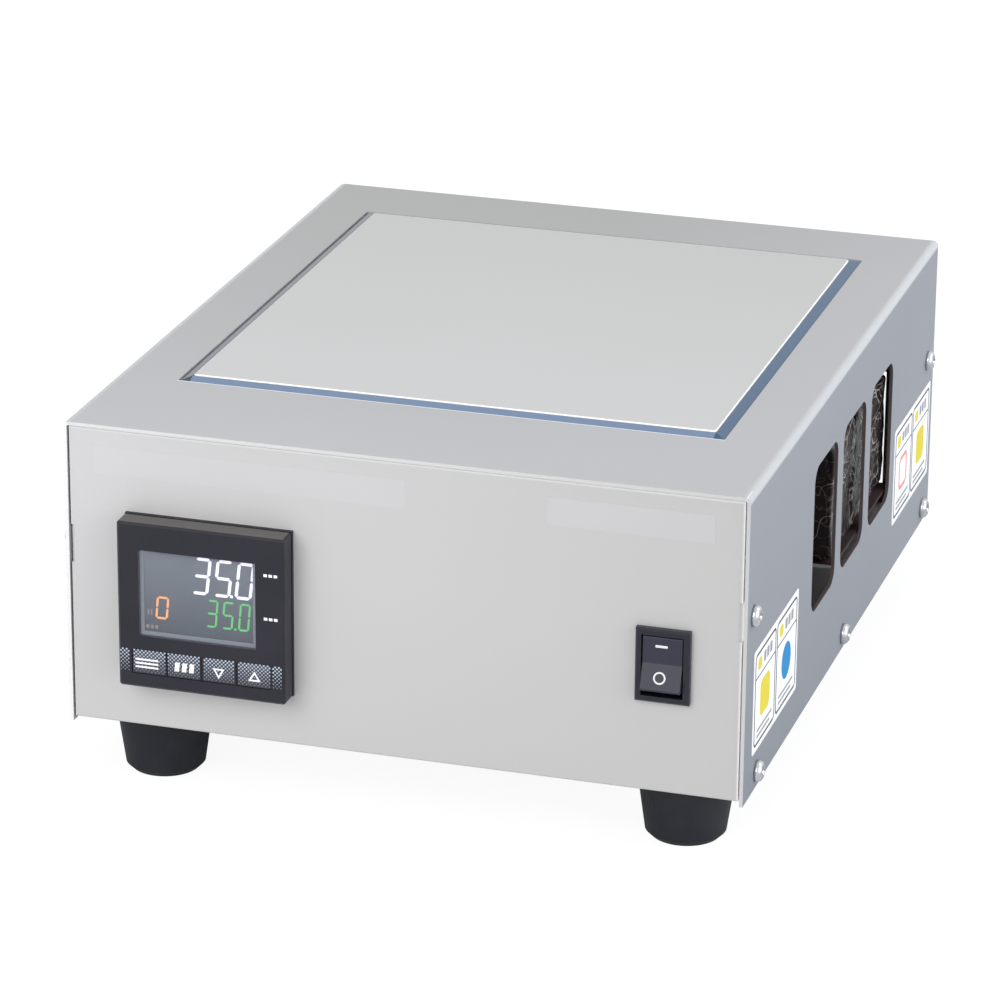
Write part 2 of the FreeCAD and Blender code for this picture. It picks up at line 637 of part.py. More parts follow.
def make_plate():
    """The aluminium plate, with a bevelled rim and blind holes in its underside."""
    across, along = middle("0", "plate_width"), middle("plate_y", "plate_length")
    block = box("PlateBlock", across, along, ("plate_under", "plate_top"))
    corners = soften("PlateCorners", block, "plate_corner", lambda edge: runs(edge, Z))
    bevelled = soften("PlateBevel", corners, "plate_chamfer",
                      lambda edge: at_place(edge, Z, "plate_top"), "Part::Chamfer")
    holes = [rod(f"PlateHole{i}", "clamp_radius + seat_gap", "clamp_grip + 1", (x, y, "plate_under"))
             for i, (x, y) in enumerate(clamp_spots())]
    holes.append(rod("PlateProbeHole", "probe_radius + seat_gap", "probe_bite",
                     ("probe_x", "probe_y", "plate_under")))
    keep(cut("PlateDrilled", bevelled, *holes), "cold_plate")


def make_seal():
    """Rubber seal round the plate: its top slopes down to the cover, and a lip goes under it."""
    gap = "(plate_gap - seat_gap)"
    inner = (middle("0", "plate_width + 2 * seat_gap"), middle("plate_y", "plate_length + 2 * seat_gap"))
    outer = (middle("0", f"plate_width + 2 * {gap}"), middle("plate_y", f"plate_length + 2 * {gap}"))
    wide = (middle("0", "plate_width + 2 * (plate_gap + seal_lip)"),
            middle("plate_y", "plate_length + 2 * (plate_gap + seal_lip)"))
    top = "cover_top - seal_depth"
    lip_top = "cover_top - cover_gauge - seat_gap"
    band = box("SealBand", *outer, (f"{top} - seal_height", top))
    lip = box("SealLip", *wide, (f"{lip_top} - lip_thick", lip_top))
    slope = doc.addObject("Part::Wedge", "SealSlope")
    half_x, half_y = f"(plate_width / 2 + {gap})", f"(plate_length / 2 + {gap})"
    land = f"({gap} - seat_gap - seal_land)"
    rise = "plate_proud + seal_depth - seal_dip"
    bind(slope, Xmin=f"-{half_x}", Xmax=half_x, Zmin=f"-{half_y}", Zmax=half_y, Ymin="0", Ymax=rise,
         X2min=f"{land} - {half_x}", X2max=f"{half_x} - {land}",
         Z2min=f"{land} - {half_y}", Z2max=f"{half_y} - {land}")
    place(slope, ("0", "plate_y", top), "-Y")
    hole = box("SealHole", *inner, (f"{top} - seal_height", "plate_top"))
    keep(cut("Seal", fuse("SealSolid", band, lip, slope), hole), "plate_seal")


def make_insulation():
    """Foam slab between the plate and the heat sink, with pockets for what passes through."""
    across, along = "plate_width + 2 * slab_margin", "plate_length + 2 * slab_margin"
    levels = ("sink_top", "plate_under")
    slab = box("SlabBlock", middle("0", across), middle("plate_y", along), levels)
    tools = [
        box(f"SlabPocket{i}", middle(x, "module_size + 2 * (block_margin + pocket_gap)"),
            middle(y, "module_size + 2 * (block_margin + pocket_gap)"), levels)
        for i, (x, y) in enumerate(module_spots())
    ]
    tall = "plate_under - sink_top"
    tools += [rod(f"SlabClamp{i}", "clamp_radius + pocket_gap", tall, (x, y, "sink_top"))
              for i, (x, y) in enumerate(clamp_spots())]
    tools.append(rod("SlabProbe", "probe_radius + pocket_gap / 2", tall, ("probe_x", "probe_y", "sink_top")))
    tools.append(box("SlabDisc", middle("disc_x", "2 * disc_ear + pocket_gap"),
                     middle("probe_y", "2 * disc_radius + pocket_gap"), levels))
    keep(cut("Slab", slab, *tools), "insulation_slab")


def module_spots():
    return [(f"{sx} * fan_size / 4", f"unit_y + {sy} * fan_size / 4")
            for sx in (-1, 1) for sy in (-1, 1)]


def make_modules():
    """Four thermoelectric modules, and the four blocks that join them to the plate."""
    modules, blocks = [], []
    for i, (x, y) in enumerate(module_spots()):
        wide = middle(x, "module_size"), middle(y, "module_size")
        slim = (middle(x, "module_size - 2 * pellet_inset"), middle(y, "module_size - 2 * pellet_inset"))
        cold = "module_top - ceramic_thick"
        hot = "sink_top + ceramic_thick"
        modules.append(fuse(
            f"Module{i}", box(f"ModuleHot{i}", *wide, ("sink_top", hot)),
            box(f"ModulePellets{i}", *slim, (hot, cold)), box(f"ModuleCold{i}", *wide, (cold, "module_top")),
        ))
        square = [middle(centre, "module_size + 2 * block_margin") for centre in (x, y)]
        blocks.append(box(f"ColdBlock{i}", *square, ("module_top", "plate_under")))
    keep(group("Modules", modules), "peltier_modules")
    keep(group("ColdBlocks", blocks), "cold_blocks")


def make_heat_sink():
    """Extruded aluminium heat sink: a base with a row of fins that hang down to the fan."""
    body = new_body("HeatSink")
    base = sketch_on(body, "SinkBase", "XZ_Plane", "-unit_front")
    rectangle(base, ("-sink_side", "sink_side"), ("sink_under", "sink_top"))
    pad(body, "SinkBasePad", base, "fan_size", reverse=True)
    fin = sketch_on(body, "Fin", "XZ_Plane", "-unit_front")
    left = "-fin_field / 2"
    rectangle(fin, (left, f"{left} + fin_gauge"), ("fin_tips", "sink_under"))
    first = pad(body, "FinPad", fin, "fan_size", reverse=True)
    row = body.newObject("PartDesign::LinearPattern", "FinRow")
    row.Originals = [first]
    row.Direction = (origin_part(body, "X_Axis"), [""])
    bind(row, Length="fin_field - fin_gauge", Occurrences="fin_count")
    body.Tip = row
    tools = []
    for i, (x, y) in enumerate(clamp_spots()):
        tools.append(rod(f"MilledSpot{i}", "milled_radius", "fin_height", (x, y, "fin_tips")))
        tools.append(rod(f"SinkClampHole{i}", "clamp_radius + bush_wall + 2 * seat_gap", "sink_base",
                         (x, y, "sink_under")))
    tools += [rod(f"SinkThread{i}", "clamp_radius + seat_gap", "thread_depth", (x, y, "sink_under"))
              for i, (x, y) in enumerate(sink_screw_spots())]
    keep(cut("SinkDrilled", body, *tools), "heat_sink")


def sink_screw_spots():
    """Centres of the screws that hold the rails' top flanges to the heat sink."""
    x = "(rail_out + sink_side) / 2"
    ends = ["unit_front + rail_inset", "unit_rear - rail_inset"]
    return [(sign, y) for sign in (f"-({x})", x) for y in ends]


def make_clamps():
    """Long screws that pull the plate down on the modules, in insulating bushes."""
    bolts, bushes = [], []
    for i, (x, y) in enumerate(clamp_spots()):
        seat = "sink_under - bush_flange"
        length = f"plate_under + clamp_grip - ({seat})"
        bolts.append(screw(f"Clamp{i}", (x, y, seat), "+Z", "clamp_head_radius", "clamp_head_height",
                           "clamp_radius", length, hexagonal=True))
        collar = rod(f"BushCollar{i}", "clamp_head_radius + bush_wall / 2", "bush_flange", (x, y, seat))
        sleeve = rod(f"BushSleeve{i}", "clamp_radius + bush_wall + seat_gap", "sink_base",
                     (x, y, "sink_under"))
        bore = rod(f"BushBore{i}", "clamp_radius + seat_gap", "sink_base + bush_flange", (x, y, seat))
        bushes.append(cut(f"Bush{i}", fuse(f"BushSolid{i}", collar, sleeve), bore))
    keep(group("Clamps", bolts), "clamp_screws")
    keep(group("Bushes", bushes), "clamp_bushes")


def make_side(label, flip):
    """A rail under one edge of the heat sink, its shelf, and the wrapped pad on the shelf."""
    side = mirrored if flip else unmoved
    tag = "Left" if flip else "Right"
    along = ("unit_front", "unit_rear")
    web = box(f"Web{tag}", side(("rail_in", "rail_out")), along, ("tray_deck", "sink_under"))
    top = box(f"RailTop{tag}", side(("rail_in", "sink_side")), along,
              ("sink_under - rail_gauge", "sink_under"))
    base = box(f"RailFoot{tag}", side(("rail_in", "rail_out + rail_flange")), along,
               ("tray_deck", "tray_deck + rail_gauge"))
    pairs = slice(0, 2) if flip else slice(2, 4)
    levels = ("tray_deck", rail_spots()[pairs]), ("sink_under - rail_gauge", sink_screw_spots()[pairs])
    holes = [rod(f"RailHole{tag}{i}{level}", "clamp_radius + hole_clearance", "rail_gauge", (x, y, z))
             for level, (z, spots) in enumerate(levels) for i, (x, y) in enumerate(spots)]
    keep(cut(f"Rail{tag}", fuse(f"RailFolded{tag}", web, top, base), *holes), f"sink_rail_{label}")

    pad_y = ("unit_front + pad_front_inset", "unit_rear - pad_rear_inset")
    shelf_top = "fan_top + shelf_gauge"
    reach = "flange_out - shelf_side_gap"
    wing = box(f"ShelfWing{tag}", side(("rail_out", reach)), pad_y, ("fan_top", shelf_top))
    leg = box(f"ShelfLeg{tag}", side(("rail_out", "rail_out + shelf_gauge")), pad_y,
              (f"{shelf_top} - shelf_drop", shelf_top))
    keep(fuse(f"Shelf{tag}", wing, leg), f"pad_shelf_{label}")

    outer = "case_side - cover_gauge - pad_side_gap"
    bolster = box(f"PadBlock{tag}", side(("sink_side + pad_inner_gap", outer)), pad_y,
                  (shelf_top, "sink_top - pad_gap"))
    eased = soften(f"PadEdges{tag}", bolster, "pad_edge", lambda edge: runs(edge, Y), "Part::Chamfer")
    keep(eased, f"side_pad_{label}")


def make_unit_fasteners():
    """Screws and nuts of the rails, and the screws of the fan."""
    rail_bolts = [screw(f"RailScrew{i}", (x, y, "tray_under"), "+Z", "clamp_head_radius", "clamp_head_height",
                        "clamp_radius", "chassis_gauge + rail_gauge + nut_height + 1", hexagonal=True)
                  for i, (x, y) in enumerate(rail_spots())]
    keep(group("RailScrews", rail_bolts), "rail_screws")
    nuts = [nut(f"RailNut{i}", (x, y, "tray_deck + rail_gauge"), "clamp_radius")
            for i, (x, y) in enumerate(rail_spots())]
    keep(group("RailNuts", nuts), "rail_nuts")
    top_bolts = [screw(f"SinkScrew{i}", (x, y, "sink_under - rail_gauge"), "+Z",
                       "rail_head_radius", "rail_head_height", "clamp_radius", "rail_gauge + rail_grip",
                       hexagonal=True)
                 for i, (x, y) in enumerate(sink_screw_spots())]
    keep(group("SinkScrews", top_bolts), "sink_screws")
    fan_bolts = [screw(f"FanScrew{i}", (x, y, "tray_under"), "+Z", "clamp_head_radius", "clamp_head_height",
                       "clamp_radius", "chassis_gauge + fan_depth - 2", hexagonal=True)
                 for i, (x, y) in enumerate(fan_spots())]
    keep(group("FanScrews", fan_bolts), "fan_screws")


def make_fan():
    """Square axial fan that blows up into the fins. Its hub faces down to the intake."""
    square = middle("0", "fan_size"), middle("unit_y", "fan_size")
    centre = ("0", "unit_y", "tray_deck")
    lower = box("FanLowerFlange", *square, ("tray_deck", "tray_deck + fan_flange"))
    upper = box("FanUpperFlange", *square, ("fan_top - fan_flange", "fan_top"))
    flanges = [soften(f"FanFlange{i}", flange, "fan_corner", lambda edge: runs(edge, Z))
               for i, flange in enumerate((lower, upper))]
    duct = rod("FanDuct", "fan_bore + fan_wall", "fan_depth", centre)
    posts = [rod(f"FanPost{i}", "fan_post_radius", "fan_depth", (x, y, "tray_deck"))
             for i, (x, y) in enumerate(fan_spots())]
    bore = rod("FanBore", "fan_bore", "fan_depth", centre)
    holes = [rod(f"FanHole{i}", "fan_hole_radius", "fan_depth", (x, y, "tray_deck"))
             for i, (x, y) in enumerate(fan_spots())]
    shell = cut("FanShell", fuse("FanShellSolid", *flanges, duct, *posts), bore, *holes)

    mount_z = "fan_top - mount_thick"
    disc = rod("MotorMount", "mount_radius", "mount_thick", ("0", "unit_y", mount_z))
    span = "2 * fan_bore + fan_wall"
    level = (mount_z, "fan_top")
    struts = [box("StrutX", middle("0", span), middle("unit_y", "strut_width"), level),
              box("StrutY", middle("0", "strut_width"), middle("unit_y", span), level)]
    tube_outer = "shaft_radius + running_gap + bearing_wall + tube_wall"
    tube_low = "tray_deck + hub_start + hub_wall + tube_gap"
    tube = rod("BearingTube", tube_outer, f"{mount_z} - ({tube_low})", ("0", "unit_y", tube_low))
    tube_bore = rod("TubeBore", "shaft_radius + running_gap + bearing_wall", f"{mount_z} - ({tube_low})",
                    ("0", "unit_y", tube_low))
    keep(cut("FanFrame", fuse("FanFrameSolid", shell, disc, *struts, tube), tube_bore), "fan_frame")

    sleeve = rod("BearingSleeve", "shaft_radius + running_gap + bearing_wall",
                 f"{mount_z} - ({tube_low})", ("0", "unit_y", tube_low))
    sleeve_bore = rod("BearingBore", "shaft_radius + running_gap", f"{mount_z} - ({tube_low})",
                      ("0", "unit_y", tube_low))
    keep(cut("Bearing", sleeve, sleeve_bore), "fan_bearing")

    coil_low = f"{mount_z} - stator_gap - stator_height"
    ring = rod("StatorRing", "stator_radius", "stator_height", ("0", "unit_y", coil_low))
    core = rod("StatorBore", f"{tube_outer} + seat_gap", "stator_height", ("0", "unit_y", coil_low))
    across, coil_z = "3 * stator_radius", (coil_low, f"{coil_low} + stator_height")
    notches = [
        box("StatorNotchX", middle("0", across), middle("unit_y", "pole_slot"), coil_z),
        box("StatorNotchY", middle("0", "pole_slot"), middle("unit_y", across), coil_z),
    ]
    spool = rod("StatorSpool", "stator_radius - pole_slot", "stator_height", ("0", "unit_y", coil_low))
    poles = cut("StatorPoles", ring, *notches)
    keep(cut("Stator", fuse("StatorSolid", poles, spool), core), "fan_stator")
    make_rotor(mount_z)


def blade_section(body, name, radius, chord, angle, camber):
    """A cambered strip across the blade at one radius, pitched to the wheel's plane."""
    sketch = sketch_on(body, name, "YZ_Plane", radius)
    spots = [("-0.5", "-0.5"), ("0", "-0.5"), ("0.5", "-0.5"), ("0.5", "0.5"), ("0", "0.5"), ("-0.5", "0.5")]
    corners = []
    for along, across in spots:
        run = f"({along} * {chord})"
        rise = f"({across} * blade_thick + {camber if along == '0' else 0})"
        corners.append((f"{run} * cos({angle}) - {rise} * sin({angle})",
                        f"hub_height / 2 + {run} * sin({angle}) + {rise} * cos({angle})"))
    outline(sketch, corners)
    return sketch


def make_rotor(mount_z):
    """Moulded wheel: a cup-shaped hub with twisted, cambered blades, and its steel shaft."""
    body = new_body("Rotor")
    disc = sketch_on(body, "HubDisc", "XY_Plane")
    circle(disc, "0", "0", "hub_radius")
    pad(body, "Hub", disc, "hub_height")
    root = blade_section(body, "BladeRoot", "blade_root", "root_chord", "root_angle", "root_camber")
    tip = blade_section(body, "BladeTip", "fan_bore - tip_room", "tip_chord", "tip_angle", "tip_camber")
    blade = body.newObject("PartDesign::AdditiveLoft", "Blade")
    blade.Profile = root
    blade.Sections = [tip]
    blade.Ruled = True
    wheel = body.newObject("PartDesign::PolarPattern", "Blades")
    wheel.Originals = [blade]
    wheel.Axis = (origin_part(body, "Z_Axis"), [""])
    wheel.Angle = 360
    bind(wheel, Occurrences="blade_count")
    body.Tip = wheel
    cavity = sketch_on(body, "HubCavity", "XY_Plane", "hub_wall")
    circle(cavity, "0", "0", "hub_radius - hub_wall")
    pocket(body, "HubCup", cavity, reverse=True)
    seat = sketch_on(body, "ShaftSeat", "XY_Plane")
    circle(seat, "0", "0", "shaft_radius")
    body.Tip = pocket(body, "ShaftHole", seat, reverse=True)
    low = "tray_deck + hub_start"
    place(body, ("0", "unit_y", low))
    keep(body, "fan_rotor")
    length = f"{mount_z} - shaft_end_gap - ({low})"
    keep(rod("Shaft", "shaft_radius", length, ("0", "unit_y", low)), "fan_shaft")


def bezel_box(name, left, width, drop, height, along_y):
    """A block placed by its distance from the bezel's left and top edges."""
    x = f"bezel_left + {left}"
    z = f"bezel_top - ({drop})"
    return box(name, (x, f"{x} + {width}"), along_y, (f"{z} - ({height})", z))


def make_controller():
    """Panel temperature controller: bezel, housing, seal, display, keys and fixing frame."""
    whole = middle("bezel_x", "bezel_size"), middle("bezel_z", "bezel_size")
    back = "bezel_face + bezel_block"
    block = box("BezelBlock", whole[0], ("bezel_face", back), whole[1])
    corners = soften("BezelCorners", block, "bezel_corner", lambda edge: runs(edge, Y))
    bevelled = soften("BezelBevel", corners, "bezel_chamfer",
                      lambda edge: at_place(edge, Y, "bezel_face"), "Part::Chamfer")
    neck_size = "bezel_size - 2 * groove_inset"
    seal_face = "panel_face - gasket_thick"
    neck = box("BezelNeck", middle("bezel_x", neck_size), (back, seal_face), middle("bezel_z", neck_size))
    window = "window_left", "window_width", "window_drop", "window_height"
    openings = [bezel_box("WindowOpening", *window, ("bezel_face", "bezel_face + display_depth"))]
    for i in range(int(value("key_count"))):
        openings.append(bezel_box(f"KeyPocket{i}", f"key_left + {i} * key_pitch + key_gap / 2",
                                  "key_pitch - key_gap", "key_drop", "key_height",
                                  ("bezel_face", "bezel_face + key_pocket")))
    keep(cut("Bezel", fuse("BezelSolid", bevelled, neck), *openings), "controller_bezel")

    glass_y = "bezel_face + window_sink"
    keep(bezel_box("Window", "window_left + seat_gap", "window_width - 2 * seat_gap",
                   "window_drop + seat_gap", "window_height - 2 * seat_gap",
                   (glass_y, f"{glass_y} + window_thick")), "display_window")
    keep(bezel_box("Display", "window_left + seat_gap", "window_width - 2 * seat_gap",
                   "window_drop + seat_gap", "window_height - 2 * seat_gap",
                   ("bezel_face + display_depth - display_thick", "bezel_face + display_depth")),
         "display_panel")

    key_face = "bezel_face + key_sink"
    for i, label in enumerate(("key_mode", "key_function", "key_down", "key_up")):
        block = bezel_box(f"KeyBlock{i}", f"key_left + {i} * key_pitch + key_gap", "key_pitch - 2 * key_gap",
                          "key_drop + key_gap / 2", "key_height - key_gap",
                          (key_face, f"{key_face} + key_thick"))
        keep(soften(f"Key{i}", block, "key_edge", lambda edge: at_place(edge, Y, key_face), "Part::Chamfer"),
             label)

    hole = middle("bezel_x", "panel_hole"), middle("bezel_z", "panel_hole")
    gasket = cut("Gasket", box("GasketBlock", whole[0], (seal_face, "panel_face"), whole[1]),
                 box("GasketHole", hole[0], (seal_face, "panel_face"), hole[1]))
    keep(gasket, "controller_gasket")

    rear = "panel_face + body_depth"
    size = middle("bezel_x", "body_size"), middle("bezel_z", "body_size")
    housing = box("HousingBlock", size[0], (seal_face, rear), size[1])
    tools = []
    roof = "bezel_z + body_size / 2"
    for i in range(int(value("housing_vents"))):
        y = f"panel_face + housing_vent_first + {i} * housing_vent_pitch"
        tools.append(box(f"HousingSlot{i}", middle("bezel_x", "housing_vent_length"),
                         (y, f"{y} + housing_vent_width"), (f"{roof} - housing_vent_depth", roof)))
    plates = []
    well, outer = "terminal_size + 2 * terminal_gap", f"{rear} - terminal_sink"
    for i, (x, z) in enumerate(terminal_spots()):
        tools.append(box(f"TerminalWell{i}", middle(x, well), (f"{rear} - terminal_depth", rear),
                         middle(z, well)))
        across = middle(x, "terminal_size")
        plate = box(f"TerminalPlate{i}", across, (f"{rear} - terminal_depth", outer),
                    middle(z, "terminal_size"))
        slot = box(f"TerminalSlot{i}", across, (f"{outer} - terminal_slot", outer),
                   middle(z, "terminal_slot"))
        plates.append(cut(f"Terminal{i}", plate, slot))
    keep(cut("Housing", housing, *tools), "controller_body")
    keep(group("Terminals", plates), "controller_terminals")

    inner = "body_size + 2 * seat_gap"
    outer = f"{inner} + 2 * clamp_frame_wall"
    clamp_y = ("panel_face + chassis_gauge", "panel_face + chassis_gauge + clamp_frame_depth")
    ring = cut("ClampRing",
               box("ClampOuter", middle("bezel_x", outer), clamp_y, middle("bezel_z", outer)),
               box("ClampInner", middle("bezel_x", inner), clamp_y, middle("bezel_z", inner)))
    keep(soften("ClampFrame", ring, "clamp_frame_corner", lambda edge: runs(edge, Y)
                and abs(edge.CenterOfMass.x - value("bezel_x")) > value("body_size / 2 + clamp_frame_wall / 2"),
                "Part::Chamfer"), "controller_clamp")


def terminal_spots():
    """Twelve clamp terminals in three rows on the back of the controller."""
    return [(f"bezel_x + {column} * terminal_pitch_x", f"bezel_z + {row} * terminal_pitch_z")
            for row in (-1, 0, 1) for column in (-1.5, -0.5, 0.5, 1.5)]


def make_switch():
    """Rocker switch: snap-in body, rocker on two stub pins, and terminal tabs."""
    rim = box("SwitchRim", middle("switch_x", "switch_width"), ("switch_face", "panel_face"),
              middle("switch_z", "switch_height"))
    soft = soften("SwitchRimBevel", rim, "switch_bevel",
                  lambda edge: at_place(edge, Y, "switch_face"), "Part::Chamfer")
    back = "panel_face + switch_body_depth"
    shell = box("SwitchShell", middle("switch_x", "switch_body_width"), ("panel_face", back),
                middle("switch_z", "switch_body_height"))
    well = box("SwitchWell", middle("switch_x", "well_width"), ("switch_face", "switch_face + well_depth"),
               middle("switch_z", "well_height"))
    pivot_y = "switch_face + pivot_depth"
    reach = "well_width + 2 * (pivot_bite + seat_gap)"
    pivot = rod("PivotBore", "pivot_radius + running_gap", reach,
                (f"switch_x - ({reach}) / 2", pivot_y, "switch_z"), "+X")
    keep(cut("SwitchBody", fuse("SwitchSolid", soft, shell), well, pivot), "switch_body")

    body = new_body("Rocker")
    side = sketch_on(body, "RockerSide", "YZ_Plane")
    outline(side, [
        ("-rocker_front", "rocker_half"), ("-rocker_dip", "0"), ("-rocker_front", "-rocker_half"),
        ("0.5", "-rocker_half + 0.4"), ("rocker_back", "-rocker_half / 2"),
        ("rocker_back", "rocker_half / 2"), ("0.5", "rocker_half - 0.4"),
    ])
    solid = pad(body, "RockerSolid", side, "rocker_width", midplane=True)
    pins = sketch_on(body, "RockerPins", "YZ_Plane")
    circle(pins, "0", "0", "pivot_radius")
    pad(body, "RockerStubs", pins, "well_width + 2 * pivot_bite", midplane=True)
    doc.recompute()
    body.Tip = round_edges(body, "RockerEdges", body.Tip, "0.5", lambda edge: runs(edge, X)
                           and edge.CenterOfMass.y < -value("rocker_front") + 0.01)
    place(body, ("switch_x", pivot_y, "switch_z"))
    body.Placement.Rotation = Rotation(X, -value("rocker_tilt"))
    keep(body, "switch_rocker")

    tabs = [box(f"SwitchTab{i}", middle("switch_x", "tab_width"), (back, f"{back} + tab_reach"),
                middle(f"switch_z + {i - 1} * tab_pitch", "tab_thick")) for i in range(3)]
    keep(group("SwitchTabs", tabs), "switch_terminals")


def make_inlet():
    """Snap-in power inlet in the rear panel, with three pins."""
    face = "rear_face + inlet_proud"
    rim = box("InletRim", middle("inlet_x", "inlet_width"), ("rear_face", face),
              middle("inlet_z", "inlet_height"))
    soft = soften("InletRimEdges", rim, "inlet_corner", lambda edge: runs(edge, Y))
    inner = "rear_face - inlet_depth"
    shell = box("InletShell", middle("inlet_x", "inlet_body_width"), (inner, "rear_face"),
                middle("inlet_z", "inlet_body_height"))
    cavity = box("InletCavity", middle("inlet_x", "cavity_width"), (f"{face} - cavity_depth", face),
                 middle("inlet_z", "cavity_height"))
    shaped = soften("InletCavityShape", cavity, "cavity_bevel", lambda edge: runs(edge, Y)
                    and edge.CenterOfMass.z > value("inlet_z"), "Part::Chamfer")
    pins, slots = [], []
    floor = f"{face} - cavity_depth"
    for i, (across, up) in enumerate(((-1, -1), (0, 1), (1, -1))):
        x = f"inlet_x + {across} * pin_pitch"
        z = f"inlet_z + {up} * pin_stagger / 2"
        span = (f"{inner} - pin_tail", f"{floor} + pin_reach")
        pins.append(box(f"InletPin{i}", middle(x, "pin_width"), span, middle(z, "pin_height")))
        slots.append(box(f"InletPinSlot{i}", middle(x, "pin_width"), (inner, floor),
                         middle(z, "pin_height")))
    keep(cut("Inlet", fuse("InletSolid", soft, shell), shaped, *slots), "power_inlet")
    keep(group("InletPins", pins), "inlet_pins")


def make_supply():
    """Open-frame power supply: board on four snap-in supports, with its larger parts."""
    face = "board_face"
    board = box("Board", middle("board_x", "board_width"), (face, "board_back"),
                ("board_low", "board_low + board_height"))
    supports, holes = [], []
    for i, (x, z) in enumerate(supply_corners()):
        post = doc.addObject("Part::Prism", f"SupportPost{i}")
        post.Polygon = 6
        bind(post, Circumradius="support_radius", Height="support_height")
        place(post, (x, "board_back", z), "+Y")
        neck = rod(f"SupportNeck{i}", "support_neck", "board_thick", (x, "board_back", z), "-Y")
        head = doc.addObject("Part::Cone", f"SupportHead{i}")
        bind(head, Radius1="support_head", Radius2="support_neck / 2", Height="support_tip")
        place(head, (x, face, z), "-Y")
        supports.append(fuse(f"Support{i}", post, neck, head))
        holes.append(rod(f"BoardHole{i}", "support_neck + seat_gap", "board_thick", (x, face, z), "+Y"))
    keep(cut("BoardDrilled", board, *holes), "supply_board")
    keep(group("Supports", supports), "supply_supports")

    centre_z = "board_low + board_height / 2"
    middle_x = "board_x + core_x"
    core = box("Core", middle(middle_x, "core_width"), (f"{face} - core_depth", face),
               middle(centre_z, "core_height"))
    coil = box("Coil", middle(middle_x, "coil_width"), (f"{face} - coil_depth", face),
               middle(centre_z, "coil_height"))
    coiled = soften("CoilRound", coil, "coil_round", lambda edge: runs(edge, Y))
    keep(fuse("Transformer", core, coiled), "supply_transformer")

    cans = [("board_x - can_x", "can_low"), ("board_x - can_x", "can_high"),
            ("board_x + can_far_x", "can_far")]
    keep(group("Cans", [
        rod(f"Can{i}", "can_radius", "can_length", (x, face, f"board_low + {rise}"), "-Y")
        for i, (x, rise) in enumerate(cans)]), "supply_capacitors")
    keep(group("Bars", [
        box(f"Bar{i}", middle(f"board_x + {x}", "bar_thick"), (f"{face} - bar_depth", face),
            middle(centre_z, "bar_height"))
        for i, x in enumerate(("bar_near_x", "bar_far_x"))]), "supply_heat_bars")

    strip_low = "board_low + strip_rise"
    near = f"{face} - strip_depth"
    strip = box("Strip", middle("board_x + strip_x", "strip_width"), (near, face),
                (strip_low, f"{strip_low} + strip_height"))
    last = int(value("way_count")) - 1
    ways = [
        box(f"Way{i}", middle(f"board_x + strip_x + {i - last / 2} * way_pitch", "way_width"),
            (near, f"{near} + way_depth"),
            (f"{strip_low} + way_wall", f"{strip_low} + strip_height - way_wall"))
        for i in range(last + 1)]
    keep(cut("TerminalStrip", strip, *ways), "supply_terminals")


def make_feet():
    """Four moulded rubber feet, each held by a bolt in its recess and a nut on the tray."""
    bolts, nuts = [], []
    for i, (label, x, y) in enumerate(foot_spots()):
        body = new_body(f"Foot{i}")
        profile = sketch_on(body, f"FootProfile{i}", "XZ_Plane")
        bore = "foot_bolt_radius + hole_clearance"
        outline(profile, [
            (bore, "tray_under"), ("foot_top_radius", "tray_under"), ("foot_base_radius", "foot_edge"),
            ("foot_base_radius - foot_edge", "0"), ("foot_recess_radius", "0"),
            ("foot_recess_radius", "foot_recess"), (bore, "foot_recess"),
        ])
        turned = body.newObject("PartDesign::Revolution", f"FootTurned{i}")
        turned.Profile = profile
        turned.ReferenceAxis = (origin_part(body, "Z_Axis"), [""])
        turned.Angle = 360
        keep(place(body, (x, y, "0")), label)
        bolts.append(screw(f"FootBolt{i}", (x, y, "foot_recess"), "+Z", "foot_head_radius",
                           "foot_head_height", "foot_bolt_radius", "tray_deck + foot_bolt_end - foot_recess",
                           hexagonal=True))
        nuts.append(nut(f"FootNut{i}", (x, y, "tray_deck"), "foot_bolt_radius"))
    keep(group("FootBolts", bolts), "foot_screws")
    keep(group("FootNuts", nuts), "foot_nuts")


def make_sensors():
    """Temperature probe in the plate, and a disc cut-out against its underside."""
    low = "plate_under + probe_bite - probe_length"
    keep(rod("Probe", "probe_radius", "probe_length", ("probe_x", "probe_y", low)), "plate_sensor")
    under = "plate_under - disc_height"
    disc = rod("Disc", "disc_radius", "disc_height", ("disc_x", "probe_y", under))
    ear = box("DiscEar", middle("disc_x", "2 * disc_ear"), middle("probe_y", "disc_ear_width"),
              ("plate_under - disc_ear_thick", "plate_under"))
    keep(fuse("DiscCutout", disc, ear), "plate_cutout")


make_cover()
make_chassis()
make_cover_screws()
make_plate()
make_seal()
make_insulation()
make_modules()
make_heat_sink()
make_clamps()
make_side("left", True)
make_side("right", False)
make_unit_fasteners()
make_fan()
make_controller()
make_switch()
make_inlet()
make_supply()
make_feet()
make_sensors()
doc.recompute()

for item in doc.Objects:
    if "Invalid" in item.State or "Error" in item.State:
        raise RuntimeError(f"{item.Name} ({item.Label}) did not build: {item.State}")
for node in nodes:
    if node.Shape.isNull() or not node.Shape.isValid() or not node.Shape.Solids:
        raise RuntimeError(f"{node.Label} has no valid solid")

os.makedirs("parts", exist_ok=True)
for node in nodes:
    node.Shape.exportStep(f"parts/{node.Label}.step")
print(len(nodes), "pieces written")
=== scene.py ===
import math

import bmesh
import bpy
from mathutils import Euler, Matrix, Vector, noise


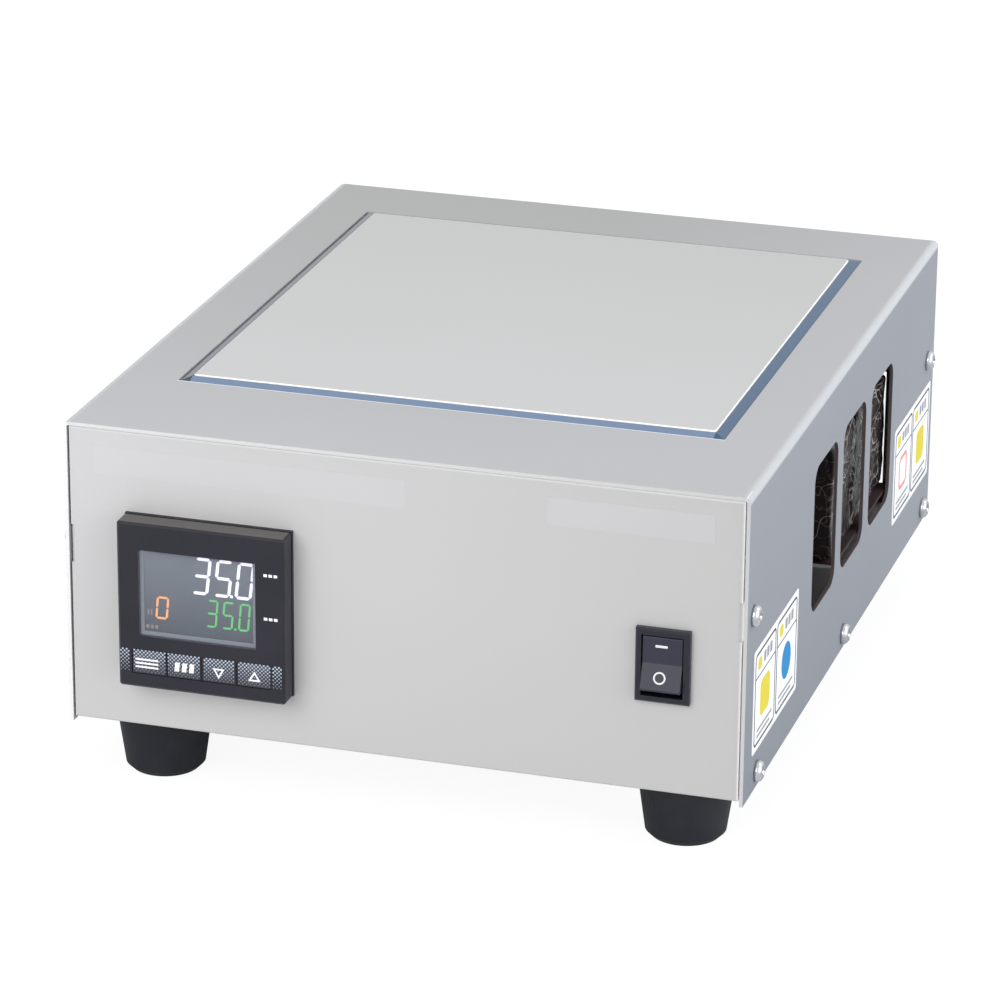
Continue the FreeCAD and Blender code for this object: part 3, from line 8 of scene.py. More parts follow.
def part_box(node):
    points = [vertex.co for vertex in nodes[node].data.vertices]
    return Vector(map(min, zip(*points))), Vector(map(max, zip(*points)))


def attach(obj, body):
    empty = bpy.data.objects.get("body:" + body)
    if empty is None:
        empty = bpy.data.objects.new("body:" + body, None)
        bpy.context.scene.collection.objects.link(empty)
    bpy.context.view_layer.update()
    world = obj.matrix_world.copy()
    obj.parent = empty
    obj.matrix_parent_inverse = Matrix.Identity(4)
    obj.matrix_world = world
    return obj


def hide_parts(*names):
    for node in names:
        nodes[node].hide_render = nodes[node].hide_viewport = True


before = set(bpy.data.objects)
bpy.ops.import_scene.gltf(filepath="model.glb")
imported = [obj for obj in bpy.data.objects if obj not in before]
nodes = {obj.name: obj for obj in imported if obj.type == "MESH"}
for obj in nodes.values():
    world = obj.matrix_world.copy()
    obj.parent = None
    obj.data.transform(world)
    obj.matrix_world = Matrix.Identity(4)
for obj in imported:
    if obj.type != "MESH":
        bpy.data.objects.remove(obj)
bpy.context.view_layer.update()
mm = 0.001


# Camera: a long lens a good metre in front of the instrument, a little to its right
# and above it, as a product photographer sets it.
camera = bpy.data.objects.new("camera", bpy.data.cameras.new("camera"))
camera.data.lens = 171.72
camera.data.sensor_width = 36
camera.data.clip_start = 0.05
aside, down, roll = 16.71, 20.62, 0.49
camera.matrix_world = (
    Matrix.Translation((0.3673, -1.2453, 0.5424))
    @ Matrix.Rotation(math.radians(aside), 4, "Z")
    @ Matrix.Rotation(math.radians(90 - down), 4, "X")
    @ Matrix.Rotation(math.radians(roll), 4, "Z"))
bpy.context.scene.collection.objects.link(camera)
bpy.context.scene.camera = camera
bpy.context.scene.view_settings.view_transform = "Standard"


# Light and floor: one broad lamp from the front, fainter ones from the right and
# from behind, and an even pale surround. The floor is pale, takes a soft shadow and
# doesn't show from below.
def lamp(name, towards, level, spread, colour):
    light = bpy.data.objects.new(name, bpy.data.lights.new(name, "SUN"))
    light.data.energy = level * math.pi
    light.data.angle = math.radians(spread)
    light.data.color = colour
    light.rotation_euler = Vector(towards).to_track_quat("Z", "Y").to_euler()
    bpy.context.scene.collection.objects.link(light)


lamp("main lamp", (-0.25, -0.80, 0.50), 0.62, 50, (1.0, 0.985, 0.96))
lamp("rear lamp", (0.62, 0.42, 0.66), 0.20, 20, (0.95, 0.98, 1.0))
lamp("right lamp", (0.92, -0.12, 0.25), 0.58, 60, (0.97, 0.98, 1.0))


def joined(tree, kind, **links):
    """Adds a node, with each named socket set to a value or linked from another socket."""
    node = tree.nodes.new(kind)
    for key, source in links.items():
        place = int(key[1:]) if key[0] == "_" else key.replace("_", " ")
        if isinstance(source, bpy.types.NodeSocket):
            tree.links.new(source, node.inputs[place])
        else:
            node.inputs[place].default_value = source
    return node


def seen_directly(tree):
    """1 for rays from the camera, a reflection or a view through glass."""
    path = tree.nodes.new("ShaderNodeLightPath")
    either = joined(tree, "ShaderNodeMath", _0=path.outputs["Is Camera Ray"],
                    _1=path.outputs["Is Glossy Ray"])
    either.operation = "MAXIMUM"
    every = joined(tree, "ShaderNodeMath", _0=either.outputs[0],
                   _1=path.outputs["Is Transmission Ray"])
    every.operation = "MAXIMUM"
    return every.outputs[0]


world = bpy.data.worlds.new("studio")
bpy.context.scene.world = world
world.use_nodes = True
surround = world.node_tree
surround.nodes.clear()
even = joined(surround, "ShaderNodeBackground", Color=(0.50, 0.52, 0.57, 1), Strength=0.95)
white = joined(surround, "ShaderNodeBackground", Color=(1, 1, 1, 1), Strength=1.0)
blend = joined(surround, "ShaderNodeMixShader", _0=seen_directly(surround),
               _1=even.outputs[0], _2=white.outputs[0])
joined(surround, "ShaderNodeOutputWorld", Surface=blend.outputs[0])

floor_mesh = bpy.data.meshes.new("floor")
floor_mesh.from_pydata([(-6, -6, 0), (6, -6, 0), (6, 9, 0), (-6, 9, 0)], [], [(0, 1, 2, 3)])
floor = bpy.data.objects.new("floor", floor_mesh)
bpy.context.scene.collection.objects.link(floor)
floor_paint = bpy.data.materials.new("pale floor")
floor_paint.use_nodes = True
tree = floor_paint.node_tree
tree.nodes.clear()
matt = joined(tree, "ShaderNodeBsdfDiffuse", Color=(0.80, 0.80, 0.80, 1))
glow = joined(tree, "ShaderNodeEmission", Color=(1, 1, 1, 1), Strength=1.08)
path = tree.nodes.new("ShaderNodeLightPath")
share = joined(tree, "ShaderNodeMath", _0=path.outputs["Is Camera Ray"], _1=0.85)
share.operation = "MULTIPLY"
mixed = joined(tree, "ShaderNodeMixShader", _0=share.outputs[0], _1=matt.outputs[0],
               _2=glow.outputs[0])
open_below = joined(tree, "ShaderNodeMixShader",
                    _0=tree.nodes.new("ShaderNodeNewGeometry").outputs["Backfacing"],
                    _1=mixed.outputs[0], _2=tree.nodes.new("ShaderNodeBsdfTransparent").outputs[0])
joined(tree, "ShaderNodeOutputMaterial", Surface=open_below.outputs[0])
floor_mesh.materials.append(floor_paint)


# Cover and chassis: folded sheet steel with a satin metallic coating. Both coats carry painted
# shade and painted highlights: the cover is painted darker on its upright sides, and paler along the bends
# and on the cut edges at the front.
def finish(name, colour, roughness, metallic=0.0, **sockets):
    """A material's shader, with its plain settings."""
    material = bpy.data.materials.new(name)
    material.use_nodes = True
    shader = material.node_tree.nodes["Principled BSDF"]
    shader.inputs["Base Color"].default_value = (*colour, 1)
    shader.inputs["Roughness"].default_value = roughness
    shader.inputs["Metallic"].default_value = metallic
    for key, setting in sockets.items():
        shader.inputs[key.replace("_", " ")].default_value = setting
    return material


def textured(material, scale, detail=3.0, stretch=(1, 1, 1)):
    """A noise over the piece, in its own coordinates, as a factor from 0 to 1."""
    tree = material.node_tree
    where = tree.nodes.new("ShaderNodeTexCoord")
    turned = joined(tree, "ShaderNodeMapping", Vector=where.outputs["Object"], Scale=stretch)
    return joined(tree, "ShaderNodeTexNoise", Vector=turned.outputs[0], Scale=scale,
                  Detail=detail, Roughness=0.55)


def tint(material, share, other):
    """Mixes another colour into the shader's own one, by a factor from 0 to 1."""
    tree = material.node_tree
    shader = tree.nodes["Principled BSDF"]
    mix = joined(tree, "ShaderNodeMix", Factor=share)
    mix.data_type = "RGBA"
    source = shader.inputs["Base Color"]
    if source.is_linked:
        tree.links.new(source.links[0].from_socket, mix.inputs[6])
    else:
        mix.inputs[6].default_value = source.default_value
    mix.inputs[7].default_value = (*other, 1)
    tree.links.new(mix.outputs[2], source)


def drift(material, other, scale, low=0.35, high=0.65):
    """Lets the colour pass between the shader's own one and another, in soft patches."""
    pattern = textured(material, scale)
    spread = joined(material.node_tree, "ShaderNodeMapRange", Value=pattern.outputs["Fac"],
                    From_Min=low, From_Max=high)
    tint(material, spread.outputs[0], other)


def zone(material, other, *ramps):
    """Another colour where every ramp is full. A ramp is an axis, or "side" for the
    distance from the middle plane, and the places where it is empty and full."""
    tree = material.node_tree
    where = tree.nodes.new("ShaderNodeTexCoord")
    split = joined(tree, "ShaderNodeSeparateXYZ", Vector=where.outputs["Object"])
    reach = joined(tree, "ShaderNodeMath", _0=split.outputs["X"])
    reach.operation = "ABSOLUTE"
    share = 1.0
    for axis, empty, full in ramps:
        along = reach.outputs[0] if axis == "side" else split.outputs[axis]
        ramp = joined(tree, "ShaderNodeMapRange", Value=along, From_Min=empty, From_Max=full)
        both = joined(tree, "ShaderNodeMath", _0=share, _1=ramp.outputs[0])
        both.operation = "MULTIPLY"
        share = both.outputs[0]
    tint(material, share, other)


def grain(material, scale, height, detail=2.0, stretch=(1, 1, 1)):
    """A fine relief over the piece: height in metres, scale in waves a metre."""
    tree = material.node_tree
    shader = tree.nodes["Principled BSDF"]
    pattern = textured(material, scale, detail, stretch)
    bump = joined(tree, "ShaderNodeBump", Height=pattern.outputs["Fac"], Distance=height,
                  Strength=1.0)
    source = shader.inputs["Normal"]
    if source.is_linked:
        tree.links.new(source.links[0].from_socket, bump.inputs["Normal"])
    tree.links.new(bump.outputs[0], source)


def dress(material, *names):
    for name in names:
        mesh = nodes[name].data
        mesh.materials.clear()
        mesh.materials.append(material)


cover_low, cover_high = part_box("cover")
plate_low, plate_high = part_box("cold_plate")
side, front, top = cover_high.x, cover_low.y, cover_high.z
plate_gap = 3.3 * mm
opening_front, opening_side = plate_low.y - plate_gap, plate_high.x + plate_gap
vent_width, vent_pitch, vent_rise, vent_height = 28.5 * mm, 35.5 * mm, 26 * mm, 43.5 * mm
vents_middle, vents_reach = (plate_low.y + plate_high.y) / 2, vent_pitch + vent_width / 2
vents_low, vents_high = cover_low.z + vent_rise, cover_low.z + vent_rise + vent_height
case_coat = finish("satin case coat", (0.485, 0.485, 0.485), 0.5, Specular_IOR_Level=0.3)
# Painted shade: darker towards the back and the left, darker on the upright sides, and darkest low at their
# front.
zone(case_coat, (0.43, 0.43, 0.43), ("Y", front, cover_high.y))
zone(case_coat, (0.375, 0.375, 0.36), ("Y", front, cover_high.y), ("X", side, 0.0))
flank = ("side", side - 0.6 * mm, side - 0.1 * mm)
zone(case_coat, (0.258, 0.273, 0.300), flank)
zone(case_coat, (0.19, 0.207, 0.235), flank, ("Z", top - 10 * mm, cover_low.z), ("Y", 90 * mm, front))
# Painted highlight along the bend between the top and each side.
zone(case_coat, (0.56, 0.575, 0.58), ("side", side - 2.4 * mm, side - 1.4 * mm),
     ("Z", top - 2.4 * mm, top - 1.4 * mm))
drift(case_coat, (0.35, 0.36, 0.38), 9, 0.3, 3.5)
grain(case_coat, 2600, 0.000006)
# Painted highlight: a thin pale line on the top at the front edge of the plate's opening.
zone(case_coat, (0.86, 0.86, 0.86), ("Z", top - 0.1 * mm, top - 0.05 * mm),
     ("Y", opening_front - 0.4 * mm, opening_front - 0.35 * mm),
     ("Y", opening_front + 0.25 * mm, opening_front + 0.15 * mm),
     ("side", opening_side + 0.2 * mm, opening_side))
# Painted light: a thin pale line on the inside of the right side near the front, lightening the shaded slit
# beside the front panel.
zone(case_coat, (0.95, 0.95, 0.94), ("X", side - 1.1 * mm, side - 1.05 * mm),
     ("X", side - 0.9 * mm, side - 0.95 * mm), ("Y", front + 6 * mm, front + 5 * mm))
# Painted highlights on the cut edges at the front: palest on the left edge, and along the top fading
# towards the right.
cut_edge = ("Y", front + 0.06 * mm, front + 0.04 * mm)
zone(case_coat, (0.50, 0.50, 0.495), cut_edge)
zone(case_coat, (0.66, 0.66, 0.655), cut_edge, ("Z", top - 1.2 * mm, top - 1.0 * mm))
zone(case_coat, (0.52, 0.52, 0.505), cut_edge, ("Z", top - 1.2 * mm, top - 1.0 * mm), ("X", -side, side))
zone(case_coat, (0.80, 0.79, 0.77), cut_edge, ("X", 1.2 * mm - side, 1.0 * mm - side))
# Painted shade: the walls of the vent openings in the sides are painted dark.
zone(case_coat, (0.10, 0.075, 0.075), ("side", side - 0.04 * mm, side - 0.06 * mm),
     ("Y", vents_middle - vents_reach - 0.3 * mm, vents_middle - vents_reach - 0.1 * mm),
     ("Y", vents_middle + vents_reach + 0.2 * mm, vents_middle + vents_reach),
     ("Z", vents_low - 0.3 * mm, vents_low - 0.1 * mm), ("Z", vents_high + 0.3 * mm, vents_high + 0.1 * mm))
dress(case_coat, "cover")

chassis_coat = finish("satin panel coat", (0.572, 0.563, 0.558), 0.42, Specular_IOR_Level=0.4)
drift(chassis_coat, (0.558, 0.554, 0.554), 11, 0.3, 0.7)
# Painted shade: the panel coat is darker towards the right and towards the bottom.
zone(chassis_coat, (0.4615, 0.457, 0.445), ("X", -side, side))
zone(chassis_coat, (0.42, 0.415, 0.41), ("Z", 70 * mm, -150 * mm))
panel_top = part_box("chassis")[1].z
near_front = ("Y", front + 4 * mm, front + 3 * mm)
# Painted light near the front: pale bands along the panel's right edge and under its top edge, where the
# slits by the cover are shaded, and a painted highlight on the panel's rightmost edge.
zone(chassis_coat, (0.68, 0.675, 0.66), ("X", side - 2.2 * mm, side - 1.6 * mm), near_front)
zone(chassis_coat, (0.68, 0.675, 0.67), ("Z", panel_top - 1.0 * mm, panel_top - 0.3 * mm), near_front)
zone(chassis_coat, (0.95, 0.95, 0.94), ("X", side - 1.6 * mm, side - 1.55 * mm), near_front)
grain(chassis_coat, 2600, 0.000005)
dress(chassis_coat, "chassis")


# Cover screws: ten pan heads of bright zinc-plated steel, five in each side, which hold
# the cover on the chassis. They are driven in with a cross recess.
def solid(name, points, faces, material, body="case", slot=None, smooth=True):
    """A new piece from points and faces, riding on a body of the instrument."""
    mesh = bpy.data.meshes.new(name)
    mesh.from_pydata([tuple(point) for point in points], [], faces)
    shaped = bmesh.new()
    shaped.from_mesh(mesh)
    bmesh.ops.recalc_face_normals(shaped, faces=shaped.faces)
    shaped.to_mesh(mesh)
    shaped.free()
    mesh.polygons.foreach_set("use_smooth", [smooth] * len(mesh.polygons))
    mesh.materials.append(material)
    piece = bpy.data.objects.new(name, mesh)
    bpy.context.scene.collection.objects.link(piece)
    if body:
        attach(piece, body)
    return piece


def turned_shape(profile, steps):
    """Points and faces of a shape turned about Z, from (radius, height) pairs."""
    points, rings = [], []
    for radius, height in profile:
        if radius == 0:
            rings.append([len(points)] * steps)
            points.append((0, 0, height))
            continue
        rings.append(list(range(len(points), len(points) + steps)))
        for i in range(steps):
            turn = 2 * math.pi * i / steps
            points.append((radius * math.cos(turn), radius * math.sin(turn), height))
    faces = []
    for near, far in zip(rings, rings[1:]):
        for i in range(steps):
            k = (i + 1) % steps
            corners = [near[i], near[k], far[k], far[i]]
            faces.append([c for n, c in enumerate(corners) if c != corners[n - 1]])
    return points, faces


def copies_tree():
    """Sets a shape at every point of a mesh, turned as the point's own attribute says."""
    tree = bpy.data.node_groups.new("placed copies", "GeometryNodeTree")
    for name, kind in (("Places", "Geometry"), ("Shape", "Object"), ("Size", "Float"),
                       ("Finish", "Material")):
        tree.interface.new_socket(name, in_out="INPUT", socket_type="NodeSocket" + kind)
    tree.interface.new_socket("Copies", in_out="OUTPUT", socket_type="NodeSocketGeometry")
    given = tree.nodes.new("NodeGroupInput")
    shape = joined(tree, "GeometryNodeObjectInfo", Object=given.outputs["Shape"])
    turn = joined(tree, "GeometryNodeInputNamedAttribute", Name="turn")
    turn.data_type = "FLOAT_VECTOR"
    tilt = joined(tree, "FunctionNodeEulerToRotation", Euler=turn.outputs["Attribute"])
    spots = joined(tree, "GeometryNodeMeshToPoints", Mesh=given.outputs["Places"])
    copies = joined(tree, "GeometryNodeInstanceOnPoints", Points=spots.outputs[0],
                    Instance=shape.outputs["Geometry"], Rotation=tilt.outputs[0],
                    Scale=given.outputs["Size"])
    real = joined(tree, "GeometryNodeRealizeInstances", Geometry=copies.outputs[0])
    coat = joined(tree, "GeometryNodeSetMaterial", Geometry=real.outputs[0],
                  Material=given.outputs["Finish"])
    result = tree.nodes.new("NodeGroupOutput")
    tree.links.new(coat.outputs[0], result.inputs["Copies"])
    return tree


def made_plain(piece):
    """Turns a piece's modifiers into a plain mesh."""
    graph = bpy.context.evaluated_depsgraph_get()
    mesh = bpy.data.meshes.new_from_object(piece.evaluated_get(graph))
    piece.modifiers.clear()
    piece.data = mesh


placed_copies = copies_tree()


def placed(name, shape, places, material):
    """Copies of a shape (points and faces) at places: pairs of a point and an axis."""
    template = solid(name + "_one", *shape, material, body=None)
    mesh = bpy.data.meshes.new(name)
    mesh.from_pydata([tuple(point) for point, axis in places], [], [])
    turns = mesh.attributes.new("turn", "FLOAT_VECTOR", "POINT")
    for i, (point, axis) in enumerate(places):
        turns.data[i].vector = Vector(axis).to_track_quat("Z", "Y").to_euler()
    piece = bpy.data.objects.new(name, mesh)
    bpy.context.scene.collection.objects.link(piece)
    modifier = piece.modifiers.new("copies", "NODES")
    modifier.node_group = placed_copies
    sockets = {item.name: item.identifier for item in placed_copies.interface.items_tree
               if item.in_out == "INPUT"}
    modifier[sockets["Shape"]] = template
    modifier[sockets["Size"]] = 1.0
    modifier[sockets["Finish"]] = material
    made_plain(piece)
    piece.data.polygons.foreach_set("use_smooth", [True] * len(piece.data.polygons))
    bpy.data.objects.remove(template)
    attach(piece, "case")
    return piece


def solids_of(name):
    """The boxes (low, high) of a CAD node's separate solids."""
    mesh = bmesh.new()
    mesh.from_mesh(nodes[name].data)
    bmesh.ops.remove_doubles(mesh, verts=mesh.verts, dist=1e-6)
    left = set(mesh.verts)
    boxes = []
    while left:
        island, edge = set(), [left.pop()]
        while edge:
            vert = edge.pop()
            island.add(vert)
            for link in vert.link_edges:
                other = link.other_vert(vert)
                if other in left:
                    left.remove(other)
                    edge.append(other)
        spots = [vert.co for vert in island]
        boxes.append((Vector(map(min, zip(*spots))), Vector(map(max, zip(*spots)))))
    mesh.free()
    return sorted(boxes, key=lambda pair: tuple(round(v, 4) for v in pair[0]))


def pan_head(radius, height, shank, length, steps=32):
    """A domed head with a cross recess, over its shank. +Z points out of the head."""
    arms, depth = 0.62 * radius, 0.62 * height
    half = 0.13 * radius
    mesh = bmesh.new()
    dome = [(radius, 0), (radius, 0.28 * height), (0.97 * radius, 0.52 * height),
            (0.88 * radius, 0.76 * height), (0.70 * radius, 0.93 * height)]
    profile = [(0, -length), (shank * 0.7, -length), (shank, -length + shank * 0.5),
               (shank, 0)] + dome
    points, faces = turned_shape(profile, steps)
    verts = [mesh.verts.new(point) for point in points]
    for face in faces:
        mesh.faces.new([verts[i] for i in face])
    rim = verts[-steps:]
    # The crown's flat middle, cut by the recess: a cross outline joined to the rim
    cross = []
    for quarter in range(4):
        turn = Matrix.Rotation(quarter * math.pi / 2, 3, "Z")
        for x, y in ((half, -half), (arms, -half), (arms, half)):
            cross.append(turn @ Vector((x, y, 0.985 * height)))
    upper = [mesh.verts.new(point) for point in cross]
    count = len(upper)
    edges = [mesh.edges.new((upper[i], upper[(i + 1) % count])) for i in range(count)]
    loops = edges + [edge for edge in mesh.edges
                     if edge.verts[0] in rim and edge.verts[1] in rim]
    bmesh.ops.triangle_fill(mesh, use_beauty=True, use_dissolve=False, edges=loops)
    lower = [mesh.verts.new((vert.co.x * 0.86, vert.co.y * 0.86, height - depth))
             for vert in upper]
    for i in range(count):
        k = (i + 1) % count
        mesh.faces.new((upper[i], upper[k], lower[k], lower[i]))
    mesh.faces.new(lower)
    inside = [face for face in mesh.faces if len(face.verts) == 3
              and all(vert in upper for vert in face.verts)]
    bmesh.ops.delete(mesh, geom=inside, context="FACES_ONLY")
    bmesh.ops.remove_doubles(mesh, verts=mesh.verts, dist=1e-7)
    points = [vert.co.copy() for vert in mesh.verts]
    mesh.verts.index_update()
    faces = [[vert.index for vert in face.verts] for face in mesh.faces]
    mesh.free()
    return points, faces


head_zinc = finish("bright screw heads", (0.64, 0.65, 0.68), 0.22, 1.0)
drift(head_zinc, (0.52, 0.53, 0.56), 700)
grain(head_zinc, 3000, 0.00001)

side_places = []
for low, high in solids_of("cover_screws"):
    middle = (low + high) / 2
    right = middle.x > 0
    face = cover_high.x if right else cover_low.x
    side_places.append(((face, middle.y, middle.z), (1 if right else -1, 0, 0)))
cover_screws = placed("cover_screw_heads", pan_head(3 * mm, 2.1 * mm, 1.9 * mm, 7 * mm),
                      side_places, head_zinc)
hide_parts("cover_screws")


# Cold plate: a thick aluminium slab, matt from bead blasting and clear anodising, with
# a machined bevel round its rim. The bevel carries a painted highlight, and the slab painted shade towards
# the back.
plate_skin = finish("blasted aluminium", (0.585, 0.580, 0.570), 0.5, 0.2, Specular_IOR_Level=0.3)
drift(plate_skin, (0.570, 0.566, 0.553), 14, 0.3, 0.7)
# Painted shade: darker towards the back.
zone(plate_skin, (0.52, 0.525, 0.505), ("Y", plate_low.y, plate_high.y))
grain(plate_skin, 2200, 0.00001)
# Painted highlight on the bevel round the rim.
zone(plate_skin, (0.92, 0.92, 0.90), ("Z", plate_high.z - 0.31 * mm, plate_high.z - 0.30 * mm),
     ("Z", plate_high.z - 0.01 * mm, plate_high.z - 0.02 * mm))
dress(plate_skin, "cold_plate")


# Seal: a strip of soft, glossy blue-grey rubber, pressed into the gap between the plate
# and the cover's opening. It is painted darker beside the plate's right and left edges, as shade.
seal_rubber = finish("glossy seal rubber", (0.15, 0.215, 0.325), 0.2, Specular_IOR_Level=0.4,
                     Coat_Weight=0.12, Coat_Roughness=0.1)
# Painted shade: a deeper blue beside the plate's right edge, and dark grey-blue beside its left edge.
zone(seal_rubber, (0.018, 0.075, 0.16), ("X", plate_high.x - 0.2 * mm, plate_high.x + 0.2 * mm))
zone(seal_rubber, (0.028, 0.048, 0.072), ("X", plate_low.x + 0.2 * mm, plate_low.x - 0.2 * mm))
grain(seal_rubber, 160, 0.00003, 2)
dress(seal_rubber, "plate_seal")


# Cooling unit: foam slab, thermoelectric modules, milled blocks and the extruded sink,
# pulled up to the plate by four long screws. A steel probe sits in the plate and a
# moulded cut-out against its underside.
foam = finish("closed cell foam", (0.022, 0.022, 0.024), 0.9, Specular_IOR_Level=0.2)
grain(foam, 900, 0.0002)
dress(foam, "insulation_slab")
ceramic = finish("module ceramic", (0.80, 0.80, 0.77), 0.55)
drift(ceramic, (0.74, 0.74, 0.71), 200)
dress(ceramic, "peltier_modules")
milled = finish("milled aluminium", (0.62, 0.62, 0.62), 0.32, 1.0)
grain(milled, 900, 0.00001, 2, (1, 12, 1))
dress(milled, "cold_blocks", "supply_heat_bars")
extruded = finish("extruded aluminium", (0.50, 0.51, 0.52), 0.36, 1.0)
grain(extruded, 700, 0.00002, 2, (1, 0.02, 1))
dress(extruded, "heat_sink")
natural_nylon = finish("natural nylon", (0.72, 0.70, 0.63), 0.45, Subsurface_Weight=0.1)
drift(natural_nylon, (0.66, 0.64, 0.57), 300)
dress(natural_nylon, "clamp_bushes", "supply_supports")
steel = finish("ground steel", (0.62, 0.62, 0.64), 0.2, 1.0)
grain(steel, 1500, 0.00001, 2, (1, 1, 20))
dress(steel, "plate_sensor")
moulded = finish("moulded cut-out body", (0.09, 0.07, 0.05), 0.5)
grain(moulded, 900, 0.00004)
dress(moulded, "plate_cutout")
zinc = finish("zinc plated screws", (0.72, 0.72, 0.73), 0.22, 1.0)
drift(zinc, (0.60, 0.60, 0.62), 700)
grain(zinc, 3000, 0.00001)
dress(zinc, "clamp_screws", "sink_screws", "rail_screws", "rail_nuts", "fan_screws",
      "foot_screws", "foot_nuts", "controller_terminals")


# Rails and shelves: folded sheet. The rails are zinc-plated, with a faint spangle; the
# shelves are painted dark, with bare cut ends, and their front cut ends carry a painted highlight.
galvanised = finish("zinc plated sheet", (0.52, 0.53, 0.55), 0.38, 0.9)
drift(galvanised, (0.44, 0.45, 0.47), 160, 0.4, 0.6)
grain(galvanised, 500, 0.00002)
dress(galvanised, "sink_rail_left", "sink_rail_right")
shelf_low, shelf_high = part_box("pad_shelf_right")
shelf_paint = finish("dark shelf paint", (0.055, 0.036, 0.036), 0.5, Specular_IOR_Level=0.05)
grain(shelf_paint, 900, 0.00004)
# Painted highlight: the shelf's front cut end is painted near white.
zone(shelf_paint, (0.95, 0.93, 0.92), ("Y", shelf_low.y + 0.06 * mm, shelf_low.y + 0.04 * mm),
     ("Z", shelf_high.z - 1.02 * mm, shelf_high.z - 1.0 * mm))
dress(shelf_paint, "pad_shelf_left", "pad_shelf_right")


# Side pads: soft blocks wrapped in a thin dark film that has crumpled, each lying on its
# shelf beside the heat sink. Glints on the film's folds are painted as pale wavy lines, and
# the film is painted lighter at the front.
def crumple(point, seed):
    """How far the film falls in at a place, from 0 to 1: flat facets between creases."""
    depth = 0.0
    for size, weight in ((0.017, 0.55), (0.008, 0.3), (0.0038, 0.15)):
        distances, spots = noise.voronoi(Vector(point) / size + Vector((seed, 0, 0)))
        crease = min(1.0, (distances[1] - distances[0]) * 1.6)
        lean = noise.cell(spots[0] * 7.31) * 0.5 + 0.5
        depth += weight * (0.55 * (1 - crease) + 0.45 * lean)
    return depth


def painted_glints(material, other, scale, width, stretch):
    """Thin wavy lines of another colour, where a noise passes through its middle."""
    tree = material.node_tree
    pattern = textured(material, scale, 2.0, stretch)
    pattern.inputs["Distortion"].default_value = 1.0
    past = joined(tree, "ShaderNodeMath", _0=pattern.outputs["Fac"], _1=0.5)
    past.operation = "SUBTRACT"
    away = joined(tree, "ShaderNodeMath", _0=past.outputs[0])
    away.operation = "ABSOLUTE"
    line = joined(tree, "ShaderNodeMapRange", Value=away.outputs[0], From_Min=width, From_Max=0.0)
    tint(material, line.outputs[0], other)


film = finish("crumpled film", (0.016, 0.012, 0.011), 0.22, Specular_IOR_Level=0.06)
drift(film, (0.032, 0.025, 0.023), 60, 0.45, 0.65)
# Painted light: the film is lighter at the front of the pads.
zone(film, (0.046, 0.037, 0.037), ("Y", 4 * mm, -2 * mm))
# Painted highlights: pale wavy lines stand for glints on the film's folds.
painted_glints(film, (0.20, 0.17, 0.155), 150, 0.022, (1, 0.4, 1))
painted_glints(film, (0.40, 0.35, 0.32), 75, 0.009, (1, 0.5, 1))
grain(film, 110, 0.0016, 2)
for seed, hand in enumerate(("left", "right")):
    node = "side_pad_" + hand
    low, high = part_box(node)
    inset, bulge = 2.4 * mm, 1.5 * mm
    wrap = bmesh.new()
    bmesh.ops.create_cube(wrap, size=1)
    size = high - low
    core_low, core_high = low + Vector((inset,) * 3), high - Vector((inset,) * 3)
    for vert in wrap.verts:
        vert.co = Vector([low[i] + (vert.co[i] + 0.5) * size[i] for i in range(3)])
    for axis, cuts in ((0, 17), (1, 57), (2, 27)):
        along = [edge for edge in wrap.edges
                 if abs((edge.verts[0].co - edge.verts[1].co)[axis]) > 0.5 * size[axis]]
        bmesh.ops.subdivide_edges(wrap, edges=along, cuts=cuts, use_grid_fill=True)
    for vert in wrap.verts:
        spot = vert.co.copy()
        core = Vector([min(max(spot[i], core_low[i]), core_high[i]) for i in range(3)])
        out = (spot - core).normalized()
        depth = crumple(spot, seed * 9.0)
        vert.co = core + out * (inset - bulge * depth)
    points = [vert.co.copy() for vert in wrap.verts]
    wrap.verts.index_update()
    faces = [[vert.index for vert in face.verts] for face in wrap.faces]
    wrap.free()
    pad = solid("wrapped_pad_" + hand, points, faces, film, slot="film")
    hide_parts(node)


# Fan: black glass-filled plastic frame and wheel, a steel shaft in a bronze bearing,
# and a wound stator inside the hub.
fan_plastic = finish("black fan plastic", (0.018, 0.018, 0.020), 0.42)
grain(fan_plastic, 1200, 0.00003)
drift(fan_plastic, (0.026, 0.026, 0.028), 120)
dress(fan_plastic, "fan_frame", "fan_rotor")
bronze = finish("sintered bronze", (0.50, 0.35, 0.18), 0.4, 1.0)
grain(bronze, 2500, 0.00002)
dress(bronze, "fan_bearing")
dress(steel, "fan_shaft")
winding = finish("enamelled copper", (0.45, 0.17, 0.06), 0.3, 0.9)
grain(winding, 1, 0.0002, 0, (60, 60, 2500))
dress(winding, "fan_stator")


# Controller: a moulded black housing behind the panel, its bezel with a bevelled edge,
# a sunk display under a clear window, and four dotted keys.
bezel_low, bezel_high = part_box("controller_bezel")
bezel_plastic = finish("black bezel plastic", (0.015, 0.0145, 0.022), 0.42, Specular_IOR_Level=0.3)
grain(bezel_plastic, 1600, 0.00002)
drift(bezel_plastic, (0.020, 0.0185, 0.027), 60)
# Painted reflection: the bezel's top face is painted a lighter grey.
zone(bezel_plastic, (0.10, 0.091, 0.09), ("Z", bezel_high.z - 0.06 * mm, bezel_high.z - 0.04 * mm))
dress(bezel_plastic, "controller_bezel")
housing_plastic = finish("black housing plastic", (0.022, 0.022, 0.025), 0.5)
grain(housing_plastic, 1100, 0.00004)
drift(housing_plastic, (0.030, 0.030, 0.033), 80)
dress(housing_plastic, "controller_body", "controller_clamp", "supply_terminals")
gasket = finish("gasket rubber", (0.015, 0.015, 0.016), 0.6)
grain(gasket, 800, 0.00004)
dress(gasket, "controller_gasket")

